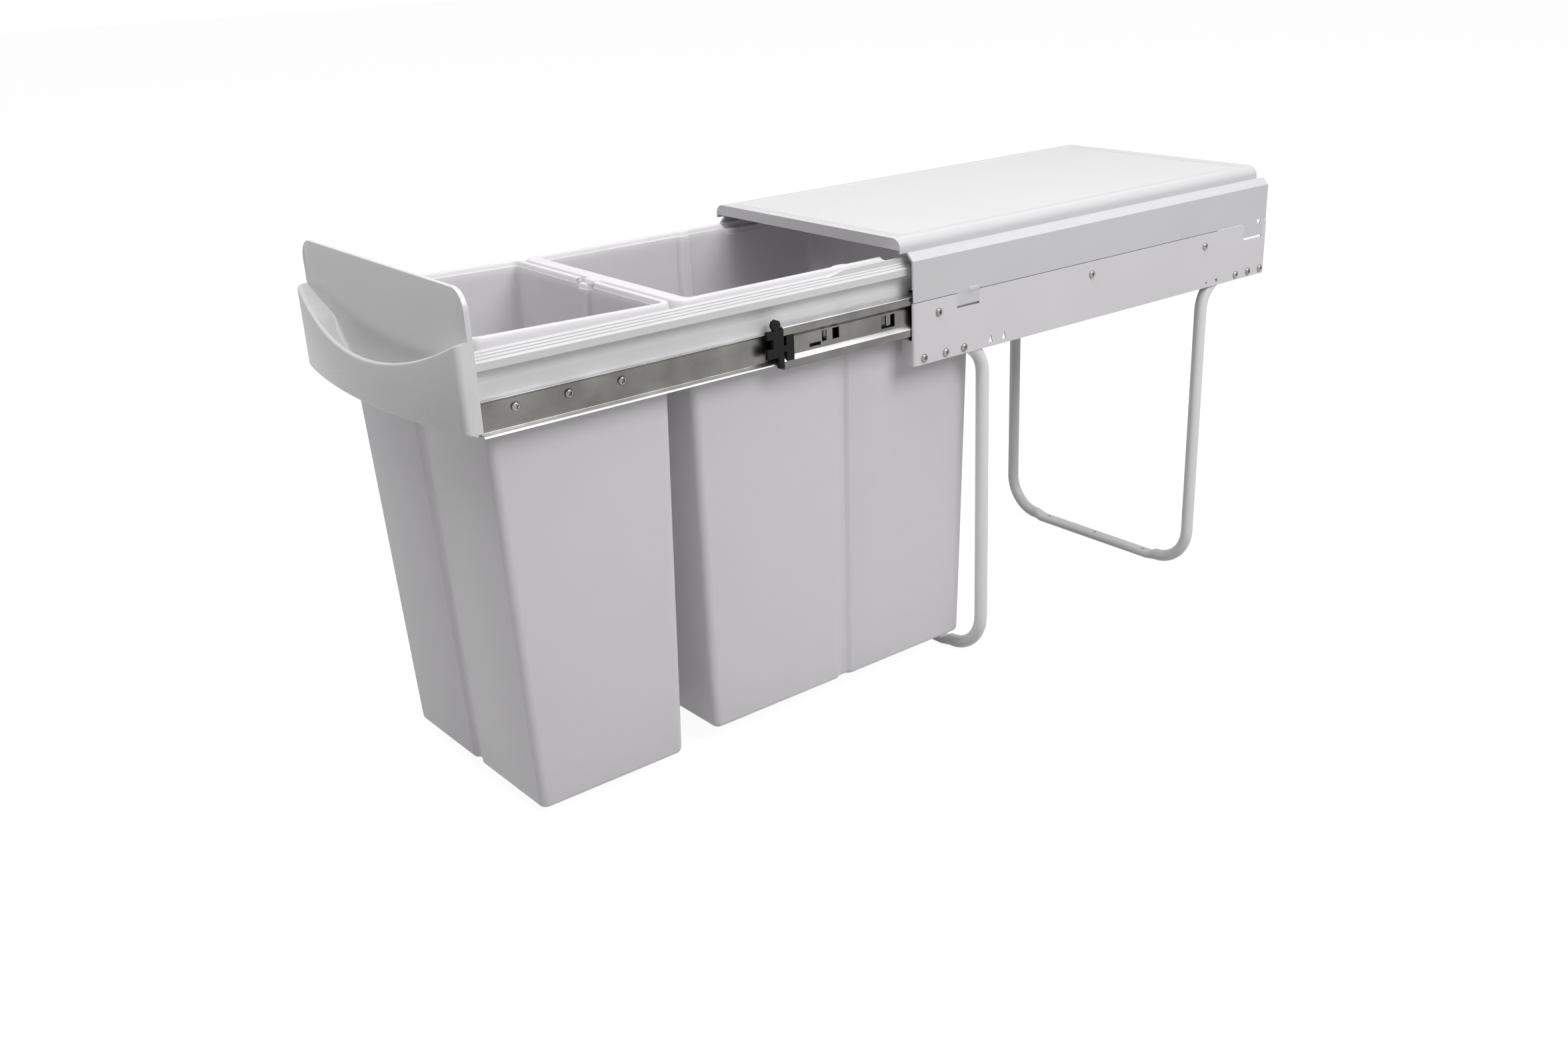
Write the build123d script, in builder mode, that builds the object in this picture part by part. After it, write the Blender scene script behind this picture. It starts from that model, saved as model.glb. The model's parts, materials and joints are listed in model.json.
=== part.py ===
"""Pull-out waste bin unit for a kitchen base cabinet, drawn with its drawer pulled out.

A white cover on two folded steel side plates stands on two tube legs that are screwed to
the cabinet floor. Two ball-bearing slides carry a frame with a front panel, a 10 litre and
a 20 litre bin. Millimetres: X across, -Y is the front, Z up from the cabinet floor. The
origin is the middle of the floor screws.
"""

import os
from math import cos, radians, sin

from build123d import *

os.makedirs("parts", exist_ok=True)

# ---------------------------------------------------------------- driving dimensions

# Fixed frame
unit_width = 264.0            # over the outer faces of the side plates
plate_length = 480.0          # depth of the unit, front to back
sheet_thickness = 1.2         # steel of the side plates
plate_bottom_z = 302.5
plate_height = 53.0
seam_gap = 0.6                # between the side plates and the skirt of the cover
fold_radius = 2.5             # outside of the fold at the front edge
front_flange_depth = 15.0     # how far the lower front flange reaches inwards
front_flange_height = 21.5
front_flange_corner = 6.0

# Cover
cover_wall = 2.0
skirt_height = 34.4
shoulder_rise = 6.5           # sloping shoulder between the skirt and the raised top
top_rise = 12.0               # raised top above the shoulder
cover_step_inset = 6.5        # how far the raised top stands in from the skirt
shoulder_drop = 0.5           # inside of the shoulder, lower by this share of a wall
cover_edge_radius = 9.0
cover_front_overhang = 8.0    # in front of the side plates
cover_rear_setback = 12.0     # raised top ends short of the rear of the side plates
skirt_rear_inset = 1.0        # so does the skirt
rim_depth = 3.0               # thickness of the downturned front and rear rims
rim_height = 9.5
tray_inset = 14.0             # border round the textured top field
tray_depth = 0.5
tray_corner = 8.0
hook_gap = 1.4                # dark slot left under each hook of the cover
hook_root = 2.0               # how far a hook runs up into the skirt
hook_rib_length = 12.0        # low rib on the rear part of the front hooks
hook_rib_height = 3.0
hook_rib_depth = 0.6
corner_hole_inset = 12.2      # triangular hole at the rear hooks, from the rear of the plates
corner_hole_width = 7.0
corner_hole_rise = 2.0        # above the seam
corner_hole_drop = 4.0        # below the seam

# Legs
leg_spacing = 304.0           # front leg to rear leg
tube_radius = 6.0
tube_wall = 1.2
tube_sides = 12               # flats round the outside of the tube
bore_sides = 6                # flats round its bore
knee_radius = 30.0            # bend from the upright to the run under the side plate
corner_radius = 38.0          # bend from the upright to the floor rung
top_run_rise = 5.5            # centre of the run, above the lower edge of the side plates
rung_start = 1.0              # straight piece of the rung before it is pressed flat
run_end_inset = 2.0           # tube ends short of the ends of the side plates
flat_thickness = 7.0          # floor rung, pressed flat
flat_width = 14.8
flat_taper = 9.0              # length over which the round tube turns flat
floor_hole_radius = 2.25
floor_hole_inset = 8.8        # outer holes, from the ends of the flat

# Ball-bearing slides: distances inwards from the side plate and up from the centre line
slide_rise = 41.5             # centre line above the lower edge of the side plates
slide_length = 400.0
slide_inset = 4.0             # from the front of the side plates
member_wall = 1.2
web_bend = 1.2
outer_ball_radius = 2.0
outer_ball_in = 7.0
outer_ball_up = 19.2
inner_ball_radius = 1.75
inner_ball_in = 8.0
inner_ball_up = 14.1
ball_play = 0.1               # between a ball and its races
slide_depth = 12.7            # from the side plate to the drawer member's back
middle_web_in = 2.4           # middle member: outer lips of the web
middle_step_in = 5.9          # middle member: recessed centre of the web
middle_step_up = 7.5
middle_step_rise = 3.0
curl_angle = 20.0             # how far a lip closes past the middle of its ball
middle_length = 375.0
middle_out = 138.0            # how far the middle members stick out, pulled out
cage_thickness = 0.6
cage_play = 0.4               # beside a cage strip
cage_hole_play = 0.15         # round a ball in its hole
outer_cage_start = 18.0       # from the front of the cabinet members, pulled out
outer_cage_length = 160.0
outer_ball_count = 4
inner_cage_start = 12.0       # from the front of the middle members, pulled out
inner_cage_length = 125.0
inner_ball_count = 3
cage_end = 8.0                # end of a cage to its first ball
bumper_plate = 5.0            # black end stop: plate across the member's front end
bumper_plate_up = 15.0
bumper_block = 11.0           # forked block in front of the plate
bumper_block_top = 15.5       # above the slide's centre line
bumper_block_foot = 6.0       # below it
bumper_fork = 5.6             # depth of the fork
bumper_fork_height = 7.5
bumper_fork_up = 5.5
bumper_knob_radius = 4.4
bumper_knob_up = 19.6
bumper_knob_inset = 6.8       # in front of the member
bumper_neck = 2.6             # behind the plate, before the head in the recess of the web
bumper_neck_up = 2.5
bumper_head = 7.4
bumper_play = 0.3             # round the end stop's parts

# Carriage, pulled out
pulled_out = 396.0            # front of the side plates to the back of the front panel
rail_wall = 2.0
rail_plate_gap = 6.8          # rail's head to the side plates
rail_bottom_drop = 13.0       # rail wall below the slide's centre line
rail_cove_rise = 23.0         # foot of the cove above the slide's centre line
rail_cove_height = 11.0
rail_head_height = 8.5
rail_head_width = 6.4
rib_count = 3                 # grooves along the top of the head
rib_depth = 0.9
rib_width = 0.8
ledge_drop = 2.0              # ledge that the bin rims hang on, below the top of the head
ledge_width = 6.2
rim_ledge_wall = 2.5
fence_height = 6.0            # raised fence at the rear of each rail
fence_wall = 1.8
fence_start = 315.0           # from the back of the front panel
fence_ramp = 18.0
member_front_gap = 3.0        # drawer member to the back of the front panel

# Front panel and handle
panel_side_gap = 1.0          # panel narrower than the unit, each side
panel_wall = 4.0
panel_drop = 7.0              # panel below the slide's centre line
panel_height = 99.5
panel_corner_radius = 15.0
bow_height = 65.0
bow_end_depth = 9.0           # handle bow in front of the panel, at its ends
bow_middle_depth = 23.0
bow_dip = 30.5                # how far the handle's lip dips in the middle
bow_wall = 4.5
bow_corner_radius = 4.0
pocket_floor_rise = 14.0      # above the lower edge of the panel
pocket_side = 29.0            # pocket to the sides of the panel
pocket_slope = 44.0           # width of the pocket's sloping ends
pocket_corner_radius = 26.0
underside_wall = 3.0
underside_depth = 9.0

# Bins
bin_wall = 1.8
bin_ledge_play = 1.0          # body of a bin between the ledges of the rails
bin_rim_play = 0.6            # rim of a bin between the heads of the rails
bin_side_draft = 6.0          # how far each side leans in down to the floor
bin_corner_radius = 7.0       # upright corners
bin_foot_radius = 4.5
bin_rim_thickness = 3.0
bin_gap = 2.0                 # between the rims of the two bins
groove_width = 15.0
groove_depth = 3.0
groove_spread = 0.6           # growth of a groove inside, as a share of the wall
front_bin_floor_z = 17.0
front_bin_top_front = 10.5    # from the back of the front panel
front_bin_top_length = 158.5
front_bin_front_draft = 14.0
front_bin_rear_draft = 10.0
front_bin_front_rim = 6.0
front_bin_rear_rim = 4.0
rear_bin_floor_z = 25.0
rear_bin_top_length = 299.5
rear_bin_front_draft = 5.0
rear_bin_rear_draft = 10.5
rear_bin_front_rim = 12.0
rear_bin_rear_rim = 5.5
rim_tab_width = 16.0
rim_tab_length = 5.0
rim_tab_root = 0.5            # how far the tab runs into the rim
rim_notch_play = 4.0          # each side of the tab in its notch
rim_notch_margin = 0.2        # rim left in front of the notch

# Screws
screw_head_radius = 3.5
screw_head_height = 2.0
screw_shank_radius = 2.0
screw_hole_play = 0.1
round_sides = 8               # flats round the screws and their holes
ball_sides = 6                # flats round the slide balls
cut_past = 1.0                # cuts that end in the open go on this far

# ---------------------------------------------------------------- derived places

front_y = -plate_length / 2
rear_y = plate_length / 2
plate_outer_x = unit_width / 2
plate_inner_x = plate_outer_x - sheet_thickness
seam_z = plate_bottom_z + plate_height
skirt_foot_z = seam_z + seam_gap
skirt_top_z = skirt_foot_z + skirt_height
cover_step_z = skirt_top_z + shoulder_rise
cover_top_z = cover_step_z + top_rise
screw_hole_radius = screw_shank_radius + screw_hole_play
cover_front_y = front_y - cover_front_overhang
cover_rear_y = rear_y - cover_rear_setback
cover_step_x = plate_outer_x - cover_step_inset
front_leg_y = -leg_spacing / 2
rear_leg_y = leg_spacing / 2
leg_x = plate_inner_x - tube_radius
top_run_z = plate_bottom_z + top_run_rise
round_x = leg_x - corner_radius - rung_start
floor_hole_x = round_x - flat_taper - floor_hole_inset
slide_z = plate_bottom_z + slide_rise
panel_back_y = front_y - pulled_out
panel_front_y = panel_back_y - panel_wall
drawer_member_x = plate_inner_x - slide_depth
rail_outer_x = plate_inner_x - rail_plate_gap
rim_ledge_outer_x = rail_outer_x - rail_head_width
rim_ledge_inner_x = rim_ledge_outer_x - ledge_width
rail_cove_z = slide_z + rail_cove_rise
rail_head_z = rail_cove_z + rail_cove_height
rail_top_z = rail_head_z + rail_head_height
rim_ledge_z = rail_top_z - ledge_drop
cabinet_member_y = front_y + slide_inset
middle_member_y = cabinet_member_y - middle_out
drawer_member_y = panel_back_y + member_front_gap
bin_top_half_width = rim_ledge_inner_x - bin_ledge_play
bin_side_rim = rim_ledge_outer_x - bin_rim_play - bin_top_half_width
front_bin_top_y = panel_back_y + front_bin_top_front
front_bin_end_y = front_bin_top_y + front_bin_top_length
rear_bin_top_y = front_bin_end_y + front_bin_rear_rim + bin_gap + rear_bin_front_rim
rear_bin_end_y = rear_bin_top_y + rear_bin_top_length

# Screw places, from the front or the rear end of a side plate, and heights
front_leg_screws = [11.5, 36.5, 58.0]
rear_leg_screws = [6.0, 25.5, 45.5]
slide_screws = [24.5, 215.5, slide_length - 21.0]     # from the front of a cabinet member
rail_screws = [29.0, 72.0, 116.5]     # from the front end of a drawer member
rail_screw_up = 3.0                   # above the slide's centre line


def label_and_export(piece, node):
    """Name a finished piece after its node and write its STEP file."""
    piece.part.label = node
    export_step(piece.part, f"parts/{node}.step")


def export_pair(right, node):
    """Write a right-hand piece and its mirror image on the left."""
    with BuildPart() as left:
        mirror(right.part, about=Plane.YZ)
    label_and_export(right, f"{node}_right")
    label_and_export(left, f"{node}_left")


def across(y):
    """Upright plane across the unit at y, seen from the front: local x = X, local y = Z."""
    return Plane(origin=(0, y, 0), x_dir=(1, 0, 0), z_dir=(0, -1, 0))


def slide_section(y):
    """Section plane of the right-hand slide: local x inwards from the side plate."""
    return Plane(origin=(plate_inner_x, y, slide_z), x_dir=(-1, 0, 0), z_dir=(0, 1, 0))


# ---------------------------------------------------------------- side plates

front_leg_screw_places = [(front_y + inset, top_run_z) for inset in front_leg_screws]
rear_leg_screw_places = [(rear_y - inset, top_run_z) for inset in rear_leg_screws]
slide_screw_places = [(cabinet_member_y + inset, slide_z) for inset in slide_screws]

hook_slots = [                # (start from the plate's front, length, depth of the notch)
    (50.0, 26.0, 12.5),
    (plate_length - 35.5, 29.0, 15.5),
]
pilot_holes = [90.5, 107.0]   # see-through marks behind the front leg
pilot_width = 5.0
pilot_height = 7.0
pilot_drop = 2.0              # foot of a mark below the run of the leg
spare_holes = [(75.6, 2.0), (91.0, 1.2)]      # (from the rear of the plate, radius)
spare_hole_drop = 1.0         # below the run of the leg

with BuildPart() as side_plate:
    with BuildSketch(Plane.YZ.offset(plate_inner_x)):
        with Locations(((front_y + fold_radius + rear_y) / 2, (plate_bottom_z + seam_z) / 2)):
            Rectangle(plate_length - fold_radius, seam_z - plate_bottom_z)
        for start, length, depth in hook_slots:
            with Locations((front_y + start + length / 2, seam_z - depth / 2)):
                Rectangle(length, depth, mode=Mode.SUBTRACT)
        with Locations(*front_leg_screw_places, *rear_leg_screw_places, *slide_screw_places):
            RegularPolygon(screw_hole_radius, round_sides, False, mode=Mode.SUBTRACT)
        for place in pilot_holes:
            with BuildLine():
                Polyline(
                    (front_y + place - pilot_width / 2, top_run_z - pilot_drop),
                    (front_y + place + pilot_width / 2, top_run_z - pilot_drop),
                    (front_y + place, top_run_z - pilot_drop + pilot_height),
                    close=True,
                )
            make_face(mode=Mode.SUBTRACT)
        for inset, radius in spare_holes:
            with Locations((rear_y - inset, top_run_z - spare_hole_drop)):
                RegularPolygon(radius, round_sides, False, mode=Mode.SUBTRACT)
    extrude(amount=sheet_thickness)
    # folded front edge, and the flange below the slide
    with BuildSketch(Plane.XY.offset(plate_bottom_z)):
        with BuildLine():
            CenterArc((plate_outer_x - fold_radius, front_y + fold_radius),
                      fold_radius - sheet_thickness / 2, -90, 90)
        trace(line_width=sheet_thickness)
    extrude(amount=seam_z - plate_bottom_z)
    with BuildSketch(across(front_y)):
        with BuildLine():
            corner_x = plate_outer_x - front_flange_depth
            left_top = Line((plate_outer_x - fold_radius, plate_bottom_z + front_flange_height),
                            (corner_x, plate_bottom_z + front_flange_height))
            left = Line(left_top @ 1, (corner_x, plate_bottom_z + front_flange_corner))
            corner = RadiusArc(left @ 1, (corner_x + front_flange_corner, plate_bottom_z),
                               -front_flange_corner)
            Polyline(corner @ 1, (plate_outer_x - fold_radius, plate_bottom_z),
                     left_top @ 0)
        make_face()
    extrude(amount=-sheet_thickness)
export_pair(side_plate, "side_plate")


# ---------------------------------------------------------------- cover

def cover_section(y, inset, foot_z):
    """Closed arch section of the cover at y, set in by a wall, down to foot_z."""
    skirt_x = plate_outer_x - inset
    step_x = cover_step_x - inset
    slope = inset * shoulder_drop
    with BuildSketch(across(y)) as section:
        with BuildLine():
            right = Polyline(
                (skirt_x, foot_z),
                (skirt_x, skirt_top_z - slope),
                (step_x, cover_step_z - slope),
                (step_x, cover_top_z - cover_edge_radius),
            )
            edge = JernArc(right @ 1, (0, 1), cover_edge_radius - inset, 90)
            Line(edge @ 1, (0, cover_top_z - inset))
            mirror(about=Plane.YZ)
            Line((-skirt_x, foot_z), (skirt_x, foot_z))
        make_face()
    return section.sketch


cover_length = cover_rear_y - cover_front_y
corner_hole_y = rear_y - corner_hole_inset

with BuildPart() as cover:
    extrude(cover_section(cover_front_y, 0, skirt_foot_z), amount=-cover_length)
    extrude(cover_section(cover_front_y, cover_wall, skirt_foot_z), amount=-cover_length,
            mode=Mode.SUBTRACT)
    # the skirt stops at the front edge of the side plates, the raised top goes on
    with BuildSketch(Plane.XY.offset(skirt_foot_z)):
        with Locations((0, (cover_front_y + front_y) / 2)):
            Rectangle(unit_width, cover_front_overhang)
    extrude(amount=cover_step_z - skirt_foot_z, mode=Mode.SUBTRACT)
    # downturned rims across the front and the rear
    for start in (cover_front_y, cover_rear_y - rim_depth):
        with BuildSketch(across(start)):
            add(cover_section(0, cover_wall, skirt_foot_z))
            with Locations((0, skirt_foot_z)):
                Rectangle(unit_width, 2 * (cover_top_z - rim_height - skirt_foot_z),
                          mode=Mode.SUBTRACT)
        extrude(amount=-rim_depth)
    # the skirt is thinned where the slides lie behind it, and runs on to the rear edge
    for side in (-1, 1):
        with BuildSketch(across(front_y)):
            with Locations((side * (plate_inner_x - cover_wall / 2), skirt_foot_z)):
                Rectangle(cover_wall, 2 * (rail_cove_z - skirt_foot_z))
        extrude(amount=-plate_length, mode=Mode.SUBTRACT)
        with BuildSketch(across(cover_rear_y)):
            with BuildLine():
                Polyline(
                    (side * plate_inner_x, skirt_foot_z),
                    (side * plate_outer_x, skirt_foot_z),
                    (side * plate_outer_x, skirt_top_z),
                    (side * cover_step_x, cover_step_z),
                    (side * cover_step_x, cover_step_z - cover_wall),
                    (side * plate_inner_x, skirt_top_z - cover_wall * shoulder_drop),
                    close=True,
                )
            make_face()
        extrude(amount=-(cover_rear_setback - skirt_rear_inset))
        # hooks that drop into the notches of the side plates
        for start, length, depth in hook_slots:
            with BuildSketch(Plane.YZ.offset(side * plate_inner_x)):
                with Locations((front_y + start + length / 2,
                                skirt_foot_z + (hook_root - depth + hook_gap) / 2)):
                    Rectangle(length, depth - hook_gap + hook_root)
            extrude(amount=side * sheet_thickness)
        # a low rib on the front hook, a triangular hole at the rear one
        with BuildSketch(Plane.YZ.offset(side * plate_outer_x)):
            with Locations((front_y + hook_slots[0][0] + hook_slots[0][1] - hook_rib_length / 2,
                            seam_z + hook_rib_height / 2)):
                Rectangle(hook_rib_length, hook_rib_height)
        extrude(amount=side * hook_rib_depth)
        with BuildSketch(Plane.YZ.offset(side * (plate_inner_x - cover_wall))):
            with BuildLine():
                Polyline(
                    (corner_hole_y - corner_hole_width / 2, seam_z + corner_hole_rise),
                    (corner_hole_y + corner_hole_width / 2, seam_z + corner_hole_rise),
                    (corner_hole_y, seam_z - corner_hole_drop),
                    close=True,
                )
            make_face()
        extrude(amount=side * (cover_wall + sheet_thickness + cut_past), mode=Mode.SUBTRACT)
    # shallow field for the textured top
    with BuildSketch(Plane.XY.offset(cover_top_z - tray_depth)):
        with Locations((0, (cover_front_y + cover_rear_y) / 2)):
            RectangleRounded(2 * (cover_step_x - tray_inset), cover_length - 2 * tray_inset,
                             tray_corner)
    extrude(amount=2 * tray_depth, mode=Mode.SUBTRACT)
label_and_export(cover, "cover")


# ---------------------------------------------------------------- legs

def tube_section(plane, width, height, sides):
    """Section of a tube, round where width and height are the same, else pressed flat."""
    spread = (width - height) / 2
    points = []
    for turn in range(sides):
        angle = radians(360 * (turn + 0.5) / sides)
        points.append((height / 2 * cos(angle) + (spread if cos(angle) > 0 else -spread),
                       height / 2 * sin(angle)))
    with BuildSketch(plane) as section:
        with BuildLine():
            Polyline(*points, close=True)
        make_face()
    return section.sketch


def tube_path(leg_y, run_end_y):
    """Centre line of the right half of a leg: run, upright, and rung up to where it flattens."""
    with BuildLine() as path:
        FilletPolyline(
            (leg_x, run_end_y, top_run_z),
            (leg_x, leg_y, top_run_z),
            (leg_x, leg_y, tube_radius),
            (round_x, leg_y, tube_radius),
            radius=[knee_radius, corner_radius],
        )
    return path.line


def make_leg(leg_y, run_end_y, screw_places):
    """A tube leg with its floor holes and its screw holes behind the side plates."""
    path = tube_path(leg_y, run_end_y)
    bore = 2 * (tube_radius - tube_wall)
    run_plane = Plane(origin=path @ 0, x_dir=(1, 0, 0), z_dir=path % 0)
    round_plane = Plane(origin=(round_x, leg_y, tube_radius), x_dir=(0, 1, 0), z_dir=(-1, 0, 0))
    flat_plane = Plane(origin=(round_x - flat_taper, leg_y, flat_thickness / 2),
                       x_dir=(0, 1, 0), z_dir=(-1, 0, 0))
    flat = tube_section(flat_plane, flat_width, flat_thickness, tube_sides)
    with BuildPart() as leg:
        sweep(tube_section(run_plane, 2 * tube_radius, 2 * tube_radius, tube_sides), path=path)
        sweep(tube_section(run_plane, bore, bore, bore_sides), path=path, mode=Mode.SUBTRACT)
        loft(sections=[tube_section(round_plane, 2 * tube_radius, 2 * tube_radius, tube_sides),
                       flat], ruled=True)
        with BuildSketch(Plane.YZ.offset(leg_x)):
            with Locations(*screw_places):
                RegularPolygon(screw_hole_radius, round_sides, False)
        extrude(amount=tube_radius, mode=Mode.SUBTRACT)
        mirror(about=Plane.YZ)
        extrude(flat, amount=2 * (round_x - flat_taper))
        with Locations((0, leg_y, flat_thickness)):
            with GridLocations(floor_hole_x, 0, 3, 1):
                Hole(floor_hole_radius, depth=flat_thickness)
    return leg


front_leg = make_leg(front_leg_y, front_y + run_end_inset, front_leg_screw_places)
label_and_export(front_leg, "front_leg")
rear_leg = make_leg(rear_leg_y, rear_y - run_end_inset, rear_leg_screw_places)
label_and_export(rear_leg, "rear_leg")


# ---------------------------------------------------------------- slides

def upper_race(ball_in, ball_up, ball_radius, sense):
    """Centre line of a lip that curls round a ball: sense +1 opens down, -1 opens up."""
    reach = ball_radius + ball_play / 2 + member_wall / 2
    if sense > 0:
        return CenterArc((ball_in, ball_up), reach, -curl_angle, 90 + curl_angle)
    return CenterArc((ball_in, ball_up), reach, 180 + curl_angle, 90 - curl_angle)


with BuildPart() as cabinet_member:
    with BuildSketch(slide_section(cabinet_member_y)):
        web = member_wall / 2
        race_up = outer_ball_up + outer_ball_radius + ball_play / 2 + member_wall / 2
        with BuildLine():
            race = upper_race(outer_ball_in, outer_ball_up, outer_ball_radius, 1)
            flange = Line(race @ 1, (web + web_bend, race_up))
            bend = CenterArc((web + web_bend, race_up - web_bend), web_bend, 90, 90)
            back = Line(bend @ 1, (web, 0))
            mirror(about=Plane.XZ)
        trace(line_width=member_wall)
    extrude(amount=slide_length)
    with BuildSketch(Plane.YZ.offset(plate_inner_x)):
        with Locations(*slide_screw_places):
            RegularPolygon(screw_hole_radius, round_sides, False)
    extrude(amount=-2 * member_wall, mode=Mode.SUBTRACT)
export_pair(cabinet_member, "cabinet_slide_member")

middle_race_up = inner_ball_up + inner_ball_radius + ball_play / 2 + member_wall / 2
middle_windows = [            # (middle, from the front of the member, length, height, up)
    (34.0, 11.5, 3.0, -3.5),
    (43.5, 5.0, 9.0, 1.7),
    (55.5, 7.0, 9.0, 1.7),
    (111.4, 14.8, 10.6, 0.4),
    (210.0, 17.0, 11.0, 0.5),
    (305.0, 17.0, 11.0, 0.5),
]
window_tongues = [            # (middle, width, height, up) of what is left in a window
    (111.6, 4.8, 8.6, 1.4),
]

with BuildPart() as middle_member:
    with BuildSketch(slide_section(middle_member_y)):
        with BuildLine():
            race = upper_race(inner_ball_in, inner_ball_up, inner_ball_radius, 1)
            flange = Line(race @ 1, (middle_web_in + web_bend, middle_race_up))
            bend = CenterArc((middle_web_in + web_bend, middle_race_up - web_bend),
                             web_bend, 90, 90)
            step = Polyline(
                bend @ 1,
                (middle_web_in, middle_step_up + middle_step_rise),
                (middle_step_in, middle_step_up),
                (middle_step_in, 0),
            )
            mirror(about=Plane.XZ)
        trace(line_width=member_wall)
    extrude(amount=middle_length)
    with BuildSketch(Plane.YZ.offset(plate_inner_x)):
        for middle, length, height, up in middle_windows:
            with Locations((middle_member_y + middle, slide_z + up)):
                Rectangle(length, height)
        for middle, width, height, up in window_tongues:
            with Locations((middle_member_y + middle, slide_z + up)):
                Rectangle(width, height, mode=Mode.SUBTRACT)
    extrude(amount=-(middle_step_in + member_wall), mode=Mode.SUBTRACT)
export_pair(middle_member, "middle_slide_member")

drawer_race_up = inner_ball_up - inner_ball_radius - ball_play / 2 - member_wall / 2
rail_screw_places = [(drawer_member_y + inset, slide_z + rail_screw_up)
                     for inset in rail_screws]

with BuildPart() as drawer_member:
    with BuildSketch(slide_section(drawer_member_y)):
        web = slide_depth - member_wall / 2
        with BuildLine():
            race = upper_race(inner_ball_in, inner_ball_up, inner_ball_radius, -1)
            flange = Line(race @ 1, (web - web_bend, drawer_race_up))
            bend = CenterArc((web - web_bend, drawer_race_up - web_bend), web_bend, 90, -90)
            back = Line(bend @ 1, (web, 0))
            mirror(about=Plane.XZ)
        trace(line_width=member_wall)
    extrude(amount=slide_length)
    with BuildSketch(Plane.YZ.offset(drawer_member_x)):
        with Locations(*rail_screw_places):
            RegularPolygon(screw_hole_radius, round_sides, False)
    extrude(amount=2 * member_wall, mode=Mode.SUBTRACT)
export_pair(drawer_member, "drawer_slide_member")


def ball_places(start_y, length, count, ball_in, ball_up):
    """Centres of the balls of one cage, upper and lower row."""
    pitch = (length - 2 * cage_end) / (count - 1)
    return [
        (plate_inner_x - ball_in, start_y + cage_end + pitch * turn, slide_z + side * ball_up)
        for side in (-1, 1)
        for turn in range(count)
    ]


def make_cage(start_y, length, places, web_face, ball_in, ball_up, ball_radius):
    """The two punched strips that keep the balls of one race apart."""
    strip_start = web_face + cage_play
    strip_end = ball_in + ball_radius + ball_play / 2 - cage_play
    with BuildPart() as cage:
        with BuildSketch(slide_section(start_y)):
            with Locations(*[((strip_start + strip_end) / 2, side * ball_up)
                             for side in (-1, 1)]):
                Rectangle(strip_end - strip_start, cage_thickness)
        extrude(amount=length)
        with BuildSketch(Plane.XY.offset(slide_z - ball_up - cage_thickness)):
            with Locations(*[(x, y) for x, y, z in places if z < slide_z]):
                RegularPolygon(ball_radius + cage_hole_play, ball_sides, False)
        extrude(amount=2 * (ball_up + cage_thickness), mode=Mode.SUBTRACT)
    return cage


def make_balls(places, ball_radius):
    """The loose balls of one race, as many-sided solids."""
    with BuildPart() as ball:
        for turn in (-60, 0, 60):
            with BuildSketch(Plane.XY.offset(ball_radius * sin(radians(turn)))):
                RegularPolygon(ball_radius * cos(radians(turn)), ball_sides)
        loft(ruled=True)
    with BuildPart() as balls:
        with Locations(*places):
            add(ball.part)
    return balls


outer_cage_y = cabinet_member_y + outer_cage_start
outer_places = ball_places(outer_cage_y, outer_cage_length, outer_ball_count,
                           outer_ball_in, outer_ball_up)
outer_cage = make_cage(outer_cage_y, outer_cage_length, outer_places, member_wall,
                       outer_ball_in, outer_ball_up, outer_ball_radius)
export_pair(outer_cage, "outer_ball_cage")
outer_balls = make_balls(outer_places, outer_ball_radius)
export_pair(outer_balls, "outer_balls")

inner_cage_y = middle_member_y + inner_cage_start
inner_places = ball_places(inner_cage_y, inner_cage_length, inner_ball_count,
                           inner_ball_in, inner_ball_up)
inner_cage = make_cage(inner_cage_y, inner_cage_length, inner_places,
                       middle_web_in + member_wall / 2,
                       inner_ball_in, inner_ball_up, inner_ball_radius)
export_pair(inner_cage, "inner_ball_cage")
inner_balls = make_balls(inner_places, inner_ball_radius)
export_pair(inner_balls, "inner_balls")

# Black end stop on the front end of a middle member: a plate across the member, a forked
# block with a knob in front of it, and a head that sits in the recess of the web
bumper_back = middle_web_in - member_wall / 2 - bumper_play
bumper_throat = middle_step_in - member_wall / 2
bumper_thickness = bumper_throat - bumper_play - bumper_back
head_up = middle_step_up - 2 * bumper_play
head_spread = ((bumper_throat - bumper_back) * middle_step_rise
               / (middle_step_in - middle_web_in))
plate_y = middle_member_y - bumper_plate
block_y = plate_y - bumper_block
knob_y = middle_member_y - bumper_knob_inset

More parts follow.
